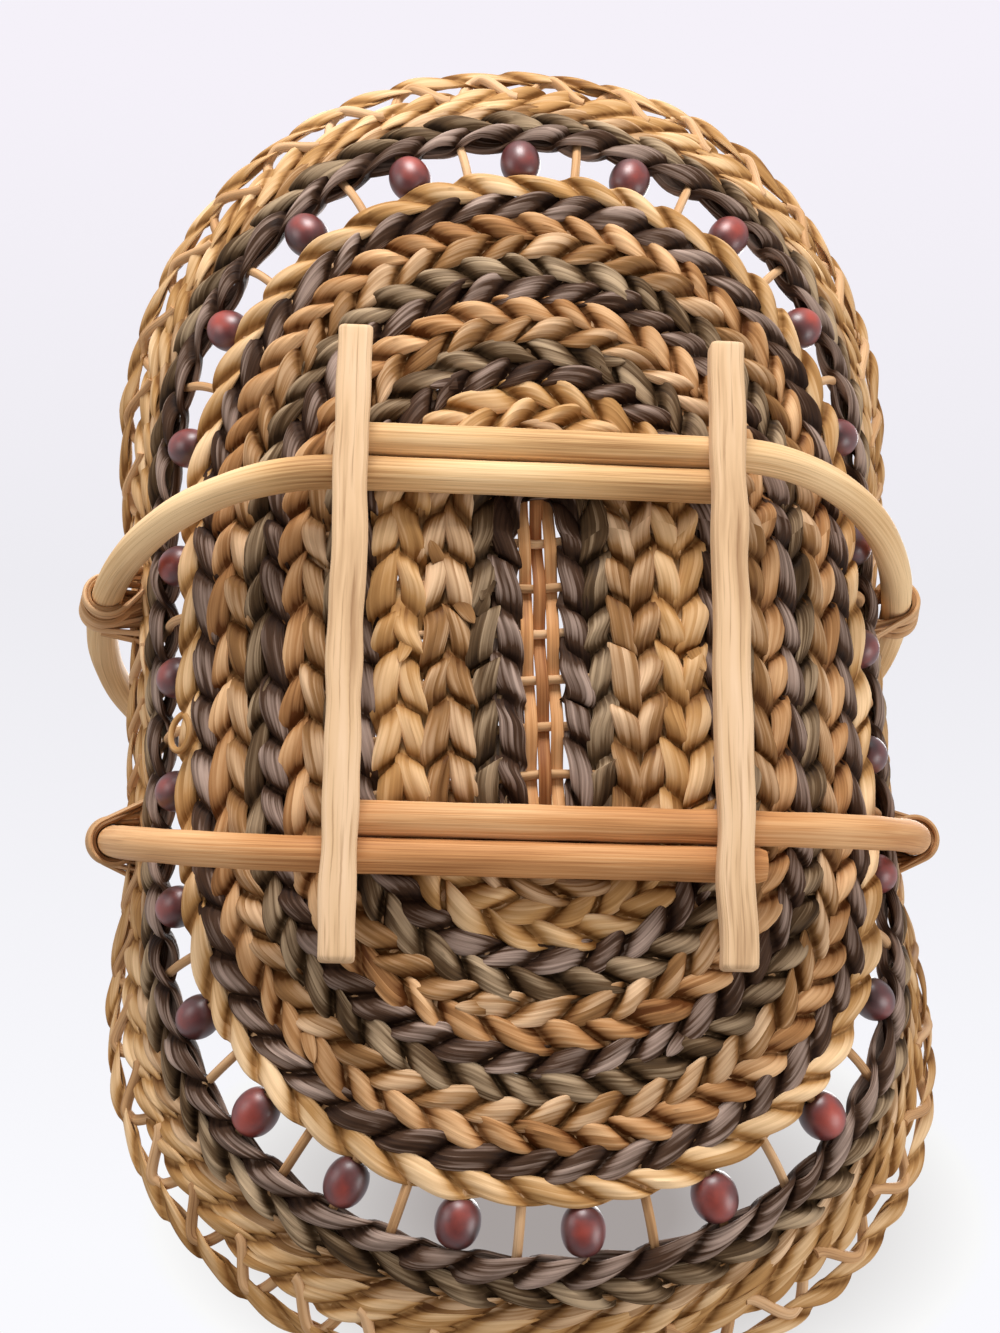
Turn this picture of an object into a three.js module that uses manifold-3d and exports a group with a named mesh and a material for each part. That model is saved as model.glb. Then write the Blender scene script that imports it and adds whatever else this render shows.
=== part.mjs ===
import * as THREE from 'three';
import Module from 'manifold-3d';

// Garden trug: an oval woven tray hung in two bent cane hoops that stand on two runners.
// Millimetres, +Z up, origin on the ground midway between the runners, +Y along the tray.

// Driving dimensions
const gap = 0.3;
const runnerWidth = 12;
const runnerThick = 9;
const runnerLength = 219;
const runnerSpacing = 129.8;
const runnerChamfer = 1.2;
const caneDiameter = 12.2;
const hoopSpacing = 133.6;
const hoopFlatOverrun = 1.5;
const hoopRimClearance = 16.3;
const hoopShoulderAboveRim = 31.1;
const backRightTuck = 3.2;
const frontLeftTuck = 8.5;
const hoopCrown = 190;
const hoopLean = 0.21;
const handleGap = 14;
const barOverrun = 5;
const pokingBarOverrun = 12;
const nailDiameter = 1.8;
const nailHeadDiameter = 3.6;
const nailHeadThick = 1;
const nailBite = 6;
const cutOverrun = 1;
const spokeCount = 50;
const spokeDiameter = 3;
const crossCount = 6;
const crossEndInset = 3.05;
const hubRadius = 19;
const hubTrim = 0.17;
const hubGrip = 3;
const hubThick = 2.3;
const spineHalf = 7.7;
const spineStripWidth = 3.6;
const spineStripThick = 2;
const spineStripInset = 3;
const straightHalf = 44.1;
const rowWidth = 16.43;
const rowThick = 4.2;
const pairedRows = 7;
const galleryHeight = 17;
const bandWidth = 21;
const bandThick = 3.6;
const twineWidth = 4.2;
const twineThick = 3.4;
const borderHeight = 18.4;
const rimWidth = 4.6;
const rimThick = 4.6;
const beadDiameter = 15.2;
const beadBore = 4.2;
const lashWidth = 3.2;
const lashThick = 1;
const trayTurn = 0.0392;
const trayShift = 2.6;

// Tray curve: slope angles in radians, distances along the weave outward from the spine
const sideSlope = 0.712;
const sideStart = 29;
const sideRun = 76.7;
const endSlope = 0.534;
const endStart = 131.7;
const endRun = 130;
const slopeBlend = 2.63;
const sideLift = 0.83;
const endLift = 0.6;
const liftLead = 3.5;
const liftRun = 25;
const liftBlend = 9.7;
const sideFlare = 0.35;
const endFlare = 0.32;
const flareLead = 4;
const flareRun = 20;

// Uneven hand spacing of the spokes, as shares of one spoke pitch
const driftCosine = [-0.203, 0.264, -0.117, 0.02];
const driftSine = [-0.093, -0.029, 0.05, -0.126];

// Derived levels
const caneRadius = caneDiameter / 2;
const spokeRadius = spokeDiameter / 2;
const barHeight = runnerThick + gap + caneRadius;
const weaveFloor = barHeight + caneRadius + gap;
const spokeLevel = weaveFloor + rowThick + gap + spokeRadius;
const crossPitch = (2 * (straightHalf - crossEndInset)) / (crossCount - 1);
const weaveEdge = spineHalf + (pairedRows + 1) * rowWidth;
const bandStart = weaveEdge + galleryHeight;
const twineStart = bandStart + bandWidth;
const rimStart = twineStart + twineWidth + borderHeight;
const spokeEnd = rimStart - gap;
const beadLine = weaveEdge + galleryHeight / 2;

const wasm = await Module();
wasm.setup();
const { Manifold, Mesh } = wasm;

const trug = new THREE.Group();
trug.name = 'garden_trug';

// Shared helpers
function finish(color, roughness, metalness) {
  return new THREE.MeshStandardMaterial({ color, roughness, metalness });
}

function addPiece(name, geometry, material) {
  const mesh = new THREE.Mesh(geometry, material);
  mesh.name = name;
  trug.add(mesh);
  return mesh;
}

function geometryFrom(points, faces) {
  const geometry = new THREE.BufferGeometry();
  const flat = points.flatMap((point) => [point.x, point.y, point.z]);
  geometry.setAttribute('position', new THREE.Float32BufferAttribute(flat, 3));
  let volume = 0;
  for (const [a, b, c] of faces) {
    volume += points[a].dot(points[b].clone().cross(points[c]));
  }
  const ordered = volume < 0 ? faces.map(([a, b, c]) => [a, c, b]) : faces;
  geometry.setIndex(ordered.flat());
  geometry.computeVertexNormals();
  return geometry;
}

// Loft through equal loops of points: closed makes a ring, otherwise both ends are capped
function loft(loops, closed) {
  const sides = loops[0].length;
  const points = loops.flat();
  const faces = [];
  const steps = closed ? loops.length : loops.length - 1;
  for (let step = 0; step < steps; step += 1) {
    const here = step * sides;
    const next = ((step + 1) % loops.length) * sides;
    for (let side = 0; side < sides; side += 1) {
      const turn = (side + 1) % sides;
      faces.push([here + side, next + side, next + turn]);
      faces.push([here + side, next + turn, here + turn]);
    }
  }
  if (!closed) {
    const last = (loops.length - 1) * sides;
    for (let side = 1; side < sides - 1; side += 1) {
      faces.push([0, side, side + 1]);
      faces.push([last, last + side + 1, last + side]);
    }
  }
  return geometryFrom(points, faces);
}

// Round stick of a given radius along a path of points
function stickLoops(path, radius, sides, upright) {
  return path.map((point, index) => {
    const before = path[Math.max(index - 1, 0)];
    const after = path[Math.min(index + 1, path.length - 1)];
    const along = after.clone().sub(before).normalize();
    const across = upright.clone().cross(along).normalize();
    const lift = along.clone().cross(across);
    const loop = [];
    for (let side = 0; side < sides; side += 1) {
      const angle = (2 * Math.PI * side) / sides - Math.PI / 2;
      const spot = point.clone();
      spot.addScaledVector(across, radius * Math.cos(angle));
      spot.addScaledVector(lift, radius * Math.sin(angle));
      loop.push(spot);
    }
    return loop;
  });
}

function solidFrom(geometry) {
  const flat = geometry.index ? geometry.toNonIndexed() : geometry;
  const positions = flat.getAttribute('position');
  const seen = new Map();
  const vertices = [];
  const triangles = [];
  for (let index = 0; index < positions.count; index += 1) {
    const spot = [positions.getX(index), positions.getY(index), positions.getZ(index)];
    const key = spot.map((value) => Math.round(value * 1e4)).join(',');
    if (!seen.has(key)) {
      seen.set(key, vertices.length / 3);
      vertices.push(...spot);
    }
    triangles.push(seen.get(key));
  }
  const mesh = new Mesh({
    numProp: 3,
    vertProperties: new Float32Array(vertices),
    triVerts: new Uint32Array(triangles),
  });
  return new Manifold(mesh);
}

function geometryOf(solid) {
  const mesh = solid.getMesh();
  const geometry = new THREE.BufferGeometry();
  geometry.setAttribute('position', new THREE.Float32BufferAttribute(mesh.vertProperties, 3));
  geometry.setIndex(Array.from(mesh.triVerts));
  geometry.computeVertexNormals();
  return geometry;
}

function upright(radius, low, high, x, y, sides) {
  const geometry = new THREE.CylinderGeometry(radius, radius, high - low, sides);
  geometry.rotateX(Math.PI / 2);
  geometry.translate(x, y, (low + high) / 2);
  return geometry;
}

// Tray surface: slope, reach and rise of the weave at a distance along a spoke
function ease(value) {
  const held = Math.min(Math.max(value, 0), 1);
  return held * held * (3 - 2 * held);
}

function slopeAt(distance, facing) {
  const side = Math.abs(Math.cos(facing)) ** slopeBlend;
  const lift = Math.abs(Math.cos(facing)) ** liftBlend;
  const sideTurn = sideSlope * ease((distance - sideStart) / sideRun);
  const endTurn = endSlope * ease((distance - endStart) / endRun);
  const rimTurn = ease((distance - weaveEdge + liftLead) / liftRun);
  const rimLift = sideLift * lift + endLift * (1 - lift);
  const flareTurn = ease((distance - bandStart + flareLead) / flareRun);
  const rimFlare = sideFlare * lift + endFlare * (1 - lift);
  return sideTurn * side + endTurn * (1 - side) + rimLift * rimTurn - rimFlare * flareTurn;
}

function profileAt(distance, facing) {
  const steps = 60;
  let reach = 0;
  let rise = 0;
  for (let step = 0; step < steps; step += 1) {
    const slope = slopeAt((distance * (step + 0.5)) / steps, facing);
    reach += (Math.cos(slope) * distance) / steps;
    rise += (Math.sin(slope) * distance) / steps;
  }
  return { reach, rise, slope: slopeAt(distance, facing) };
}

// Hoops sized from the runners and the tray's side rim
const sideRim = profileAt(rimStart, 0);
const hoopFlat = runnerSpacing / 2 + hoopFlatOverrun;
const hoopHalfWidth = sideRim.reach + hoopRimClearance;
const hoopShoulder = spokeLevel + sideRim.rise + hoopShoulderAboveRim - barHeight;
const hoopHeight = hoopShoulder + hoopCrown;
const hoopTopReach = hoopSpacing / 2 - caneRadius - handleGap / 2;
const hoopEase = (hoopLean * hoopHeight - hoopTopReach) / (hoopHeight * hoopHeight);

// Bead line as a racetrack, walked clockwise from the middle of the -Y end
const trackSteps = 100;
const bendShare = 0.7;
const track = [];
for (let quarter = 0; quarter < 4; quarter += 1) {
  for (let step = 0; step < trackSteps; step += 1) {
    const share = step / trackSteps;
    const along = quarter % 2 === 0 ? share : 1 - share;
    const bend = Math.min(along / bendShare, 1);
    const facing = (Math.PI / 2) * (1 - bend);
    const straight = straightHalf * (1 - Math.max(along - bendShare, 0) / (1 - bendShare));
    const right = quarter < 2 ? 1 : -1;
    const down = quarter === 1 || quarter === 2 ? 1 : -1;
    const { reach, rise } = profileAt(beadLine, facing);
    const x = right * reach * Math.cos(facing);
    const y = down * (straight + reach * Math.sin(facing));
    track.push({ facing, spot: new THREE.Vector3(x, y, rise) });
  }
}
const walked = [0];
for (let step = 0; step < track.length; step += 1) {
  const next = track[(step + 1) % track.length].spot;
  walked.push(walked[step] + track[step].spot.distanceTo(next));
}

function trackAt(share) {
  const goal = (share - Math.floor(share)) * walked[track.length];
  let step = 0;
  while (step < track.length - 1 && walked[step + 1] <= goal) {
    step += 1;
  }
  const part = (goal - walked[step]) / (walked[step + 1] - walked[step]);
  const here = track[step];
  const next = track[(step + 1) % track.length];
  return {
    facing: here.facing + (next.facing - here.facing) * part,
    spot: here.spot.clone().lerp(next.spot, part),
  };
}

// Spokes: number 0 at the middle of the -Y end, then clockwise seen from below
const firstCross = spokeCount / 4 - (crossCount - 1) / 2;
const spokes = [];
for (let number = 0; number < spokeCount; number += 1) {
  let share = number / spokeCount;
  for (let wave = 1; wave <= driftCosine.length; wave += 1) {
    const angle = (2 * Math.PI * wave * number) / spokeCount;
    const drift = driftCosine[wave - 1] * Math.cos(angle) + driftSine[wave - 1] * Math.sin(angle);
    share += drift / spokeCount;
  }
  const { facing, spot } = trackAt(share);
  const mirrored = number > spokeCount / 2 ? spokeCount - number : number;
  const crossing = mirrored >= firstCross && mirrored < firstCross + crossCount;
  const end = number < spokeCount / 4 || number > (3 * spokeCount) / 4 ? -1 : 1;
  const rootY = crossing ? (mirrored - spokeCount / 4) * crossPitch : end * straightHalf;
  const root = new THREE.Vector2(0, rootY);
  const out = new THREE.Vector2(spot.x, spot.y).sub(root);
  spokes.push({ number, facing, crossing, end, root, out, heading: out.clone().normalize() });
}

const turnCosine = Math.cos(trayTurn);
const turnSine = Math.sin(trayTurn);

// Tray point in the hoops: turned, and moved sideways
function placed(x, y, z) {
  const across = turnCosine * x + turnSine * y + trayShift;
  return new THREE.Vector3(across, turnCosine * y - turnSine * x, z);
}

// Point on a spoke at a distance along the weave, moved out of the tray by a depth
function weavePoint(spoke, distance, depth) {
  const { reach, rise, slope } = profileAt(distance, spoke.facing);
  const share = reach / profileAt(beadLine, spoke.facing).reach;
  const outward = depth * Math.sin(slope);
  const x = spoke.root.x + spoke.out.x * share + spoke.heading.x * outward;
  const y = spoke.root.y + spoke.out.y * share + spoke.heading.y * outward;
  return placed(x, y, spokeLevel + rise - depth * Math.cos(slope));
}

// Colours
const caneFinish = () => finish('#c99b60', 0.45, 0);
const runnerFinish = () => finish('#b8905a', 0.6, 0);
const tanFinish = () => finish('#a9834e', 0.75, 0);
const goldFinish = () => finish('#c29a5c', 0.7, 0);
const darkFinish = () => finish('#4a423d', 0.8, 0);
const rattanFinish = () => finish('#a9773f', 0.6, 0);
const beadFinish = () => finish('#5a1f24', 0.3, 0);
const steelFinish = () => finish('#8d8f92', 0.4, 0.9);

// Runners, with blind holes for the nails
const runnerX = runnerSpacing / 2;
const barOffset = caneRadius + gap / 2;
const nailSpots = [
  { x: -runnerX, y: -hoopSpacing / 2 + barOffset },
  { x: runnerX, y: -hoopSpacing / 2 - barOffset },
  { x: -runnerX, y: hoopSpacing / 2 + barOffset },
  { x: runnerX, y: hoopSpacing / 2 - barOffset },
];
const nailFoot = runnerThick - nailBite;
const nailTop = barHeight + caneRadius - gap;
const nailHeadFoot = nailTop - nailHeadThick;
const holeRadius = nailDiameter / 2 + gap;
const pocketRadius = nailHeadDiameter / 2 + gap;

function runnerGeometry(x) {
  const half = runnerWidth / 2;
  const cut = runnerChamfer;
  const corners = [
    [-half + cut, 0], [half - cut, 0], [half, cut], [half, runnerThick - cut],
    [half - cut, runnerThick], [-half + cut, runnerThick], [-half, runnerThick - cut], [-half, cut],
  ];
  const ends = [-runnerLength / 2, runnerLength / 2];
  const loops = ends.map((y) => corners.map(([side, z]) => new THREE.Vector3(x + side, y, z)));
  let solid = solidFrom(loft(loops, false));
  for (const spot of nailSpots.filter((nail) => Math.sign(nail.x) === Math.sign(x))) {
    const hole = upright(holeRadius, nailFoot - gap, runnerThick + cutOverrun, spot.x, spot.y, 8);
    solid = solid.subtract(solidFrom(hole));
  }
  return geometryOf(solid);
}
addPiece('runner_left', runnerGeometry(-runnerX), runnerFinish());
addPiece('runner_right', runnerGeometry(runnerX), runnerFinish());

// Hoops: one cane each, its two ends lapped side by side over the runners
const caneSides = 10;

function hoopSpot(across, up, end, side) {
  const fade = side * barOffset * (1 - up / hoopHeight);
  const lean = hoopLean * up - hoopEase * up * up;
  const y = end * (hoopSpacing / 2 - lean) - fade;
  return new THREE.Vector3(across, y, barHeight + up);
}

// Hand-bent arms: the back right and front left ones come in closer to the rim
function armHalfWidth(end, side) {
  if (end === side) {
    return hoopHalfWidth;
  }
  return hoopHalfWidth - (end > 0 ? frontLeftTuck : backRightTuck);
}

function armPath(end, side, overrun) {
  const halfWidth = armHalfWidth(end, side);
  const path = [hoopSpot(-side * (runnerX + overrun), 0, end, side)];
  path.push(hoopSpot(side * hoopFlat, 0, end, side));
  const bends = 10;
  for (let step = 1; step <= bends; step += 1) {
    const angle = (Math.PI / 2) * (step / bends);
    const across = hoopFlat + (halfWidth - hoopFlat) * Math.sin(angle);
    path.push(hoopSpot(side * across, hoopShoulder * (1 - Math.cos(angle)), end, side));
  }
  for (let step = 1; step <= bends; step += 1) {
    const angle = (Math.PI / 2) * (step / bends);
    const across = halfWidth * Math.cos(angle);
    path.push(hoopSpot(side * across, hoopShoulder + hoopCrown * Math.sin(angle), end, side));
  }
  return path;
}

function hoopPath(end) {
  const leftOverrun = end > 0 ? pokingBarOverrun : barOverrun;
  const left = armPath(end, -1, leftOverrun);
  const right = armPath(end, 1, barOverrun).reverse();
  return left.concat(right.slice(1));
}

function hoopGeometry(end) {
  const path = hoopPath(end);
  const loops = stickLoops(path, caneRadius, caneSides, new THREE.Vector3(0, 1, 0));
  let solid = solidFrom(loft(loops, false));
  for (const spot of nailSpots.filter((nail) => Math.sign(nail.y) === end)) {
    const hole = upright(holeRadius, runnerThick - cutOverrun, weaveFloor + cutOverrun, spot.x, spot.y, 8);
    const pocket = upright(pocketRadius, nailHeadFoot - gap, weaveFloor + cutOverrun, spot.x, spot.y, 8);
    solid = solid.subtract(solidFrom(hole)).subtract(solidFrom(pocket));
  }
  return geometryOf(solid);
}
addPiece('hoop_back', hoopGeometry(-1), caneFinish());
addPiece('hoop_front', hoopGeometry(1), caneFinish());

// Nails through the canes into the runners
const nailNames = ['nail_back_left', 'nail_back_right', 'nail_front_left', 'nail_front_right'];
nailSpots.forEach((spot, index) => {
  const profile = [
    [0, nailFoot], [nailDiameter / 2, nailFoot], [nailDiameter / 2, nailHeadFoot],
    [nailHeadDiameter / 2, nailHeadFoot], [nailHeadDiameter / 2, nailTop], [0, nailTop],
  ].map(([radius, height]) => new THREE.Vector2(radius, height));
  const geometry = new THREE.LatheGeometry(profile, 8);
  geometry.rotateX(Math.PI / 2);
  geometry.translate(spot.x, spot.y, 0);
  addPiece(nailNames[index], geometry, steelFinish());
});

// Woven rows: flattened rings that lie along the outside of the spokes
function ringGeometry(start, width, thick, depth) {
  const middle = start + width / 2;
  const half = width / 2 - gap / 2;
  const flat = 0.6;
  const corners = [[-1, 0], [-flat, 0.5], [flat, 0.5], [1, 0], [flat, -0.5], [-flat, -0.5]];
  const loops = spokes.map((spoke) => corners.map(([side, lift]) => (
    weavePoint(spoke, middle + side * half, depth + lift * thick)
  )));
  return loft(loops, true);
}
const rowDepth = spokeRadius + gap + rowThick / 2;
const rowFinishes = [
  darkFinish, tanFinish, goldFinish, darkFinish, tanFinish, darkFinish, tanFinish,
];
for (let row = 0; row < pairedRows; row += 1) {
  const geometry = ringGeometry(spineHalf + row * rowWidth, rowWidth, rowThick, rowDepth);
  addPiece(`weave_row_${row + 1}`, geometry, rowFinishes[row]());
}
const singleStart = spineHalf + pairedRows * rowWidth;
const darkSingle = ringGeometry(singleStart, rowWidth / 2, rowThick, rowDepth);
addPiece('weave_row_8_dark', darkSingle, darkFinish());
const lightSingle = ringGeometry(singleStart + rowWidth / 2, rowWidth / 2, rowThick, rowDepth);
addPiece('weave_row_9_light', lightSingle, goldFinish());
const bandDepth = spokeRadius + gap + bandThick / 2;
addPiece('outer_band', ringGeometry(bandStart, bandWidth, bandThick, bandDepth), darkFinish());
const twineDepth = spokeRadius + gap + twineThick / 2;
addPiece('border_twine', ringGeometry(twineStart, twineWidth, twineThick, twineDepth), rattanFinish());
addPiece('rim_rope', ringGeometry(rimStart, rimWidth, rimThick, 0), rattanFinish());

// Spoke sticks: some run across the spine, the others fan out from a hub at each end
const skyward = new THREE.Vector3(0, 0, 1);
const spokeSides = 4;
const flatShare = 0.15;

function spokePath(spoke, start) {
  const curved = Math.abs(Math.cos(spoke.facing)) ** slopeBlend > flatShare;
  const rows = curved ? [2, 3, 4, 5, 6, 7, 8] : [7];
  const stops = [start];
  for (const row of rows) {
    stops.push(spineHalf + (row - 0.5) * rowWidth);
  }
  stops.push(weaveEdge, bandStart, bandStart + bandWidth / 2, twineStart + twineWidth / 2, spokeEnd);
  return stops.map((distance) => weavePoint(spoke, distance, 0));
}

for (let index = 0; index < crossCount; index += 1) {
  const right = spokes[firstCross + index];
  const left = spokes[spokeCount - right.number];
  const path = spokePath(left, 0).reverse().concat(spokePath(right, 0).slice(1));
  const loops = stickLoops(path, spokeRadius, spokeSides, skyward);
  addPiece(`cross_spoke_${index + 1}`, loft(loops, false), rattanFinish());
}

function fanGeometry(end) {
  const outline = new THREE.Shape();
  const arc = 14;
  for (let step = 0; step <= arc; step += 1) {
    const angle = hubTrim + ((Math.PI - 2 * hubTrim) * step) / arc;
    const x = hubRadius * Math.cos(angle);
    const y = end * (straightHalf + hubRadius * Math.sin(angle));
    const spot = placed(x, y, 0);
    outline[step === 0 ? 'moveTo' : 'lineTo'](spot.x, spot.y);
  }
  outline.closePath();
  const plate = new THREE.ExtrudeGeometry(outline, { depth: hubThick, bevelEnabled: false });
  plate.translate(0, 0, spokeLevel - hubThick / 2);
  let solid = solidFrom(plate);
  for (const spoke of spokes.filter((one) => !one.crossing && one.end === end)) {
    const loops = stickLoops(spokePath(spoke, hubRadius - hubGrip), spokeRadius, spokeSides, skyward);
    solid = solid.add(solidFrom(loft(loops, false)));
  }
  return geometryOf(solid);
}
addPiece('spoke_fan_back', fanGeometry(-1), rattanFinish());
addPiece('spoke_fan_front', fanGeometry(1), rattanFinish());

// Spine strips under the cross spokes
const stripTop = spokeLevel - spokeRadius - gap;
const stripNames = ['spine_strip_left', 'spine_strip_middle', 'spine_strip_right'];
stripNames.forEach((name, index) => {
  const middle = (index - 1) * (spineStripWidth + gap);
  const half = spineStripWidth / 2;
  const low = stripTop - spineStripThick;
  const loops = [-1, 1].map((end) => [
    [middle - half, low], [middle + half, low], [middle + half, stripTop], [middle - half, stripTop],
  ].map(([x, z]) => placed(x, end * (straightHalf + spineHalf - spineStripInset), z)));
  addPiece(name, loft(loops, false), index === 1 ? rattanFinish() : goldFinish());
});

// Beads, threaded on every other spoke in the gallery
const beadLength = galleryHeight - 2 * gap;
const beadCut = 0.314;
const beadFullness = 0.8;
for (let number = 0; number < spokeCount; number += 2) {
  const low = weavePoint(spokes[number], weaveEdge, 0);
  const high = weavePoint(spokes[number], bandStart, 0);
  const profile = [];
  const bands = 4;
  for (let step = 0; step <= bands; step += 1) {
    const angle = beadCut + ((Math.PI - 2 * beadCut) * step) / bands;
    const radius = (beadDiameter / 2) * Math.sin(angle) ** beadFullness;
    const height = ((-beadLength / 2) * Math.cos(angle)) / Math.cos(beadCut);
    profile.push(new THREE.Vector2(radius, height));
  }
  profile.push(new THREE.Vector2(beadBore / 2, beadLength / 2));
  profile.push(new THREE.Vector2(beadBore / 2, -beadLength / 2));
  profile.push(profile[0].clone());
  const geometry = new THREE.LatheGeometry(profile, 8);
  const bead = addPiece(`bead_${number / 2 + 1}`, geometry, beadFinish());
  bead.position.copy(low).lerp(high, 0.5);
  bead.quaternion.setFromUnitVectors(new THREE.Vector3(0, 1, 0), high.clone().sub(low).normalize());
}

// Lashings: a loop around each hoop arm and the nearest border spoke, just under the rim
const lashLine = twineStart + twineWidth + borderHeight / 2;

function lashGeometry(end, side) {
  const path = armPath(end, side, barOverrun);
  let best = null;
  for (const spoke of spokes) {
    const centre = weavePoint(spoke, lashLine, 0);
    const axis = weavePoint(spoke, lashLine + lashWidth, 0).sub(weavePoint(spoke, lashLine - lashWidth, 0));
    axis.normalize();
    for (let step = 2; step < path.length; step += 1) {
      const before = path[step - 1].clone().sub(centre).dot(axis);
      const after = path[step].clone().sub(centre).dot(axis);
      if (before <= 0 && after > 0) {
        const cane = path[step - 1].clone().lerp(path[step], before / (before - after));
        const lie = path[step].clone().sub(path[step - 1]).normalize().dot(axis);
        const away = cane.distanceTo(centre);
        if (best === null || away < best.away) {
          best = { centre, axis, cane, lie, away };
        }
      }
    }
  }
  const { centre, axis, cane, lie, away } = best;
  const lean = Math.sqrt(1 - lie * lie) / lie;
  const caneSpan = caneRadius / lie + gap + (lashWidth / 2) * lean;
  const spokeSpan = spokeRadius + 2 * gap;
  const outlineOf = (extra) => {
    const big = caneSpan + extra;
    const small = spokeSpan + extra;
    const split = Math.acos((big - small) / away);
    const spots = [];
    const arc = 10;
    for (let step = 0; step <= arc; step += 1) {
      const angle = split + ((2 * Math.PI - 2 * split) * step) / arc;
      spots.push(new THREE.Vector2(big * Math.cos(angle), big * Math.sin(angle)));
    }
    const turnBack = 5;
    for (let step = 0; step <= turnBack; step += 1) {
      const angle = -split + (2 * split * step) / turnBack;
      spots.push(new THREE.Vector2(away + small * Math.cos(angle), small * Math.sin(angle)));
    }
    return spots;
  };
  const shape = new THREE.Shape(outlineOf(lashThick));
  shape.holes.push(new THREE.Path(outlineOf(0)));
  const geometry = new THREE.ExtrudeGeometry(shape, { depth: lashWidth, bevelEnabled: false });
  geometry.translate(0, 0, -lashWidth / 2);
  const toSpoke = centre.clone().sub(cane).normalize();
  const across = axis.clone().cross(toSpoke);
  const place = new THREE.Matrix4().makeBasis(toSpoke, across, axis);
  place.setPosition(cane);
  geometry.applyMatrix4(place);
  return geometry;
}
addPiece('lashing_back_left', lashGeometry(-1, -1), rattanFinish());
addPiece('lashing_back_right', lashGeometry(-1, 1), rattanFinish());
addPiece('lashing_front_left', lashGeometry(1, -1), rattanFinish());
addPiece('lashing_front_right', lashGeometry(1, 1), rattanFinish());

export default trug;
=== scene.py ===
"""Garden trug: an oval woven tray with a bead gallery, hung in two bent cane hoops on two runners.

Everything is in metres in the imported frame: +Z up, +Y along the tray, origin on the ground. The weave is
twined: two flat strands turn around each other between the spokes, and two neighbouring ropes of opposite
hand make one chevron row.
"""

import bpy
import numpy as np
from bpy.props import FloatProperty, FloatVectorProperty, IntProperty, PointerProperty
from bpy.types import Operator, Panel, PropertyGroup
from mathutils import Matrix, Vector


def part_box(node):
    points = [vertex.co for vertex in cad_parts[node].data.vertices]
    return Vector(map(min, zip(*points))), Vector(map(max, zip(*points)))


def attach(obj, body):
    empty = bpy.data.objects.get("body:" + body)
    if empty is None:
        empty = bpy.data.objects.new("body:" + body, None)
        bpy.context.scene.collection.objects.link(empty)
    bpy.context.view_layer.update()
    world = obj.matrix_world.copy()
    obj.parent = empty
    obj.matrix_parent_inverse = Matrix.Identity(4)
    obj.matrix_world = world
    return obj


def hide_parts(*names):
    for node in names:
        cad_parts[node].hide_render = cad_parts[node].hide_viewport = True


bl_info = {
    "name": "Garden Trug",
    "version": (1, 0, 0),
    "blender": (4, 5, 0),
    "location": "View3D > Sidebar > Trug",
    "description": "Builds a woven garden trug around its packed frame",
    "category": "Add Mesh",
}

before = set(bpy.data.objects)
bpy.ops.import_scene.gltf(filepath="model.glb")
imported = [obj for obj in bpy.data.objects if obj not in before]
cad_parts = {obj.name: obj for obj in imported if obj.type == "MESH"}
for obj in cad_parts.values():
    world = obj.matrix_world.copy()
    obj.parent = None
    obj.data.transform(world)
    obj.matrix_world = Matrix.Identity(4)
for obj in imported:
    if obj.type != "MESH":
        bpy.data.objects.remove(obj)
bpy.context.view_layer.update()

# Places read from the frame
LEFT_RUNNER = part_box("runner_left")
RIGHT_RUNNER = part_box("runner_right")
HOOPS = {-1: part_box("hoop_back"), 1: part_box("hoop_front")}
SPINE_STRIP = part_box("spine_strip_middle")
CLEARANCE = 0.0003

STRAND_UV = "strand"
UV_UNIT = 0.01
CAP_UVS = (0.0, 0.1, 0.2, 0.2)
SHARP_ANGLE = np.radians(50)


def length(name, description, default):
    """A size in metres."""
    return FloatProperty(name=name, description=description, default=default, unit="LENGTH", precision=5)


def angle(name, description, default):
    """An angle in radians."""
    return FloatProperty(name=name, description=description, default=default, unit="ROTATION", precision=4)


def number(name, description, default):
    """A plain ratio or strength."""
    return FloatProperty(name=name, description=description, default=default, precision=4)


def colour(name, description, default):
    """A linear colour."""
    return FloatVectorProperty(name=name, description=description, default=default, subtype="COLOR", size=3)


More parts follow.
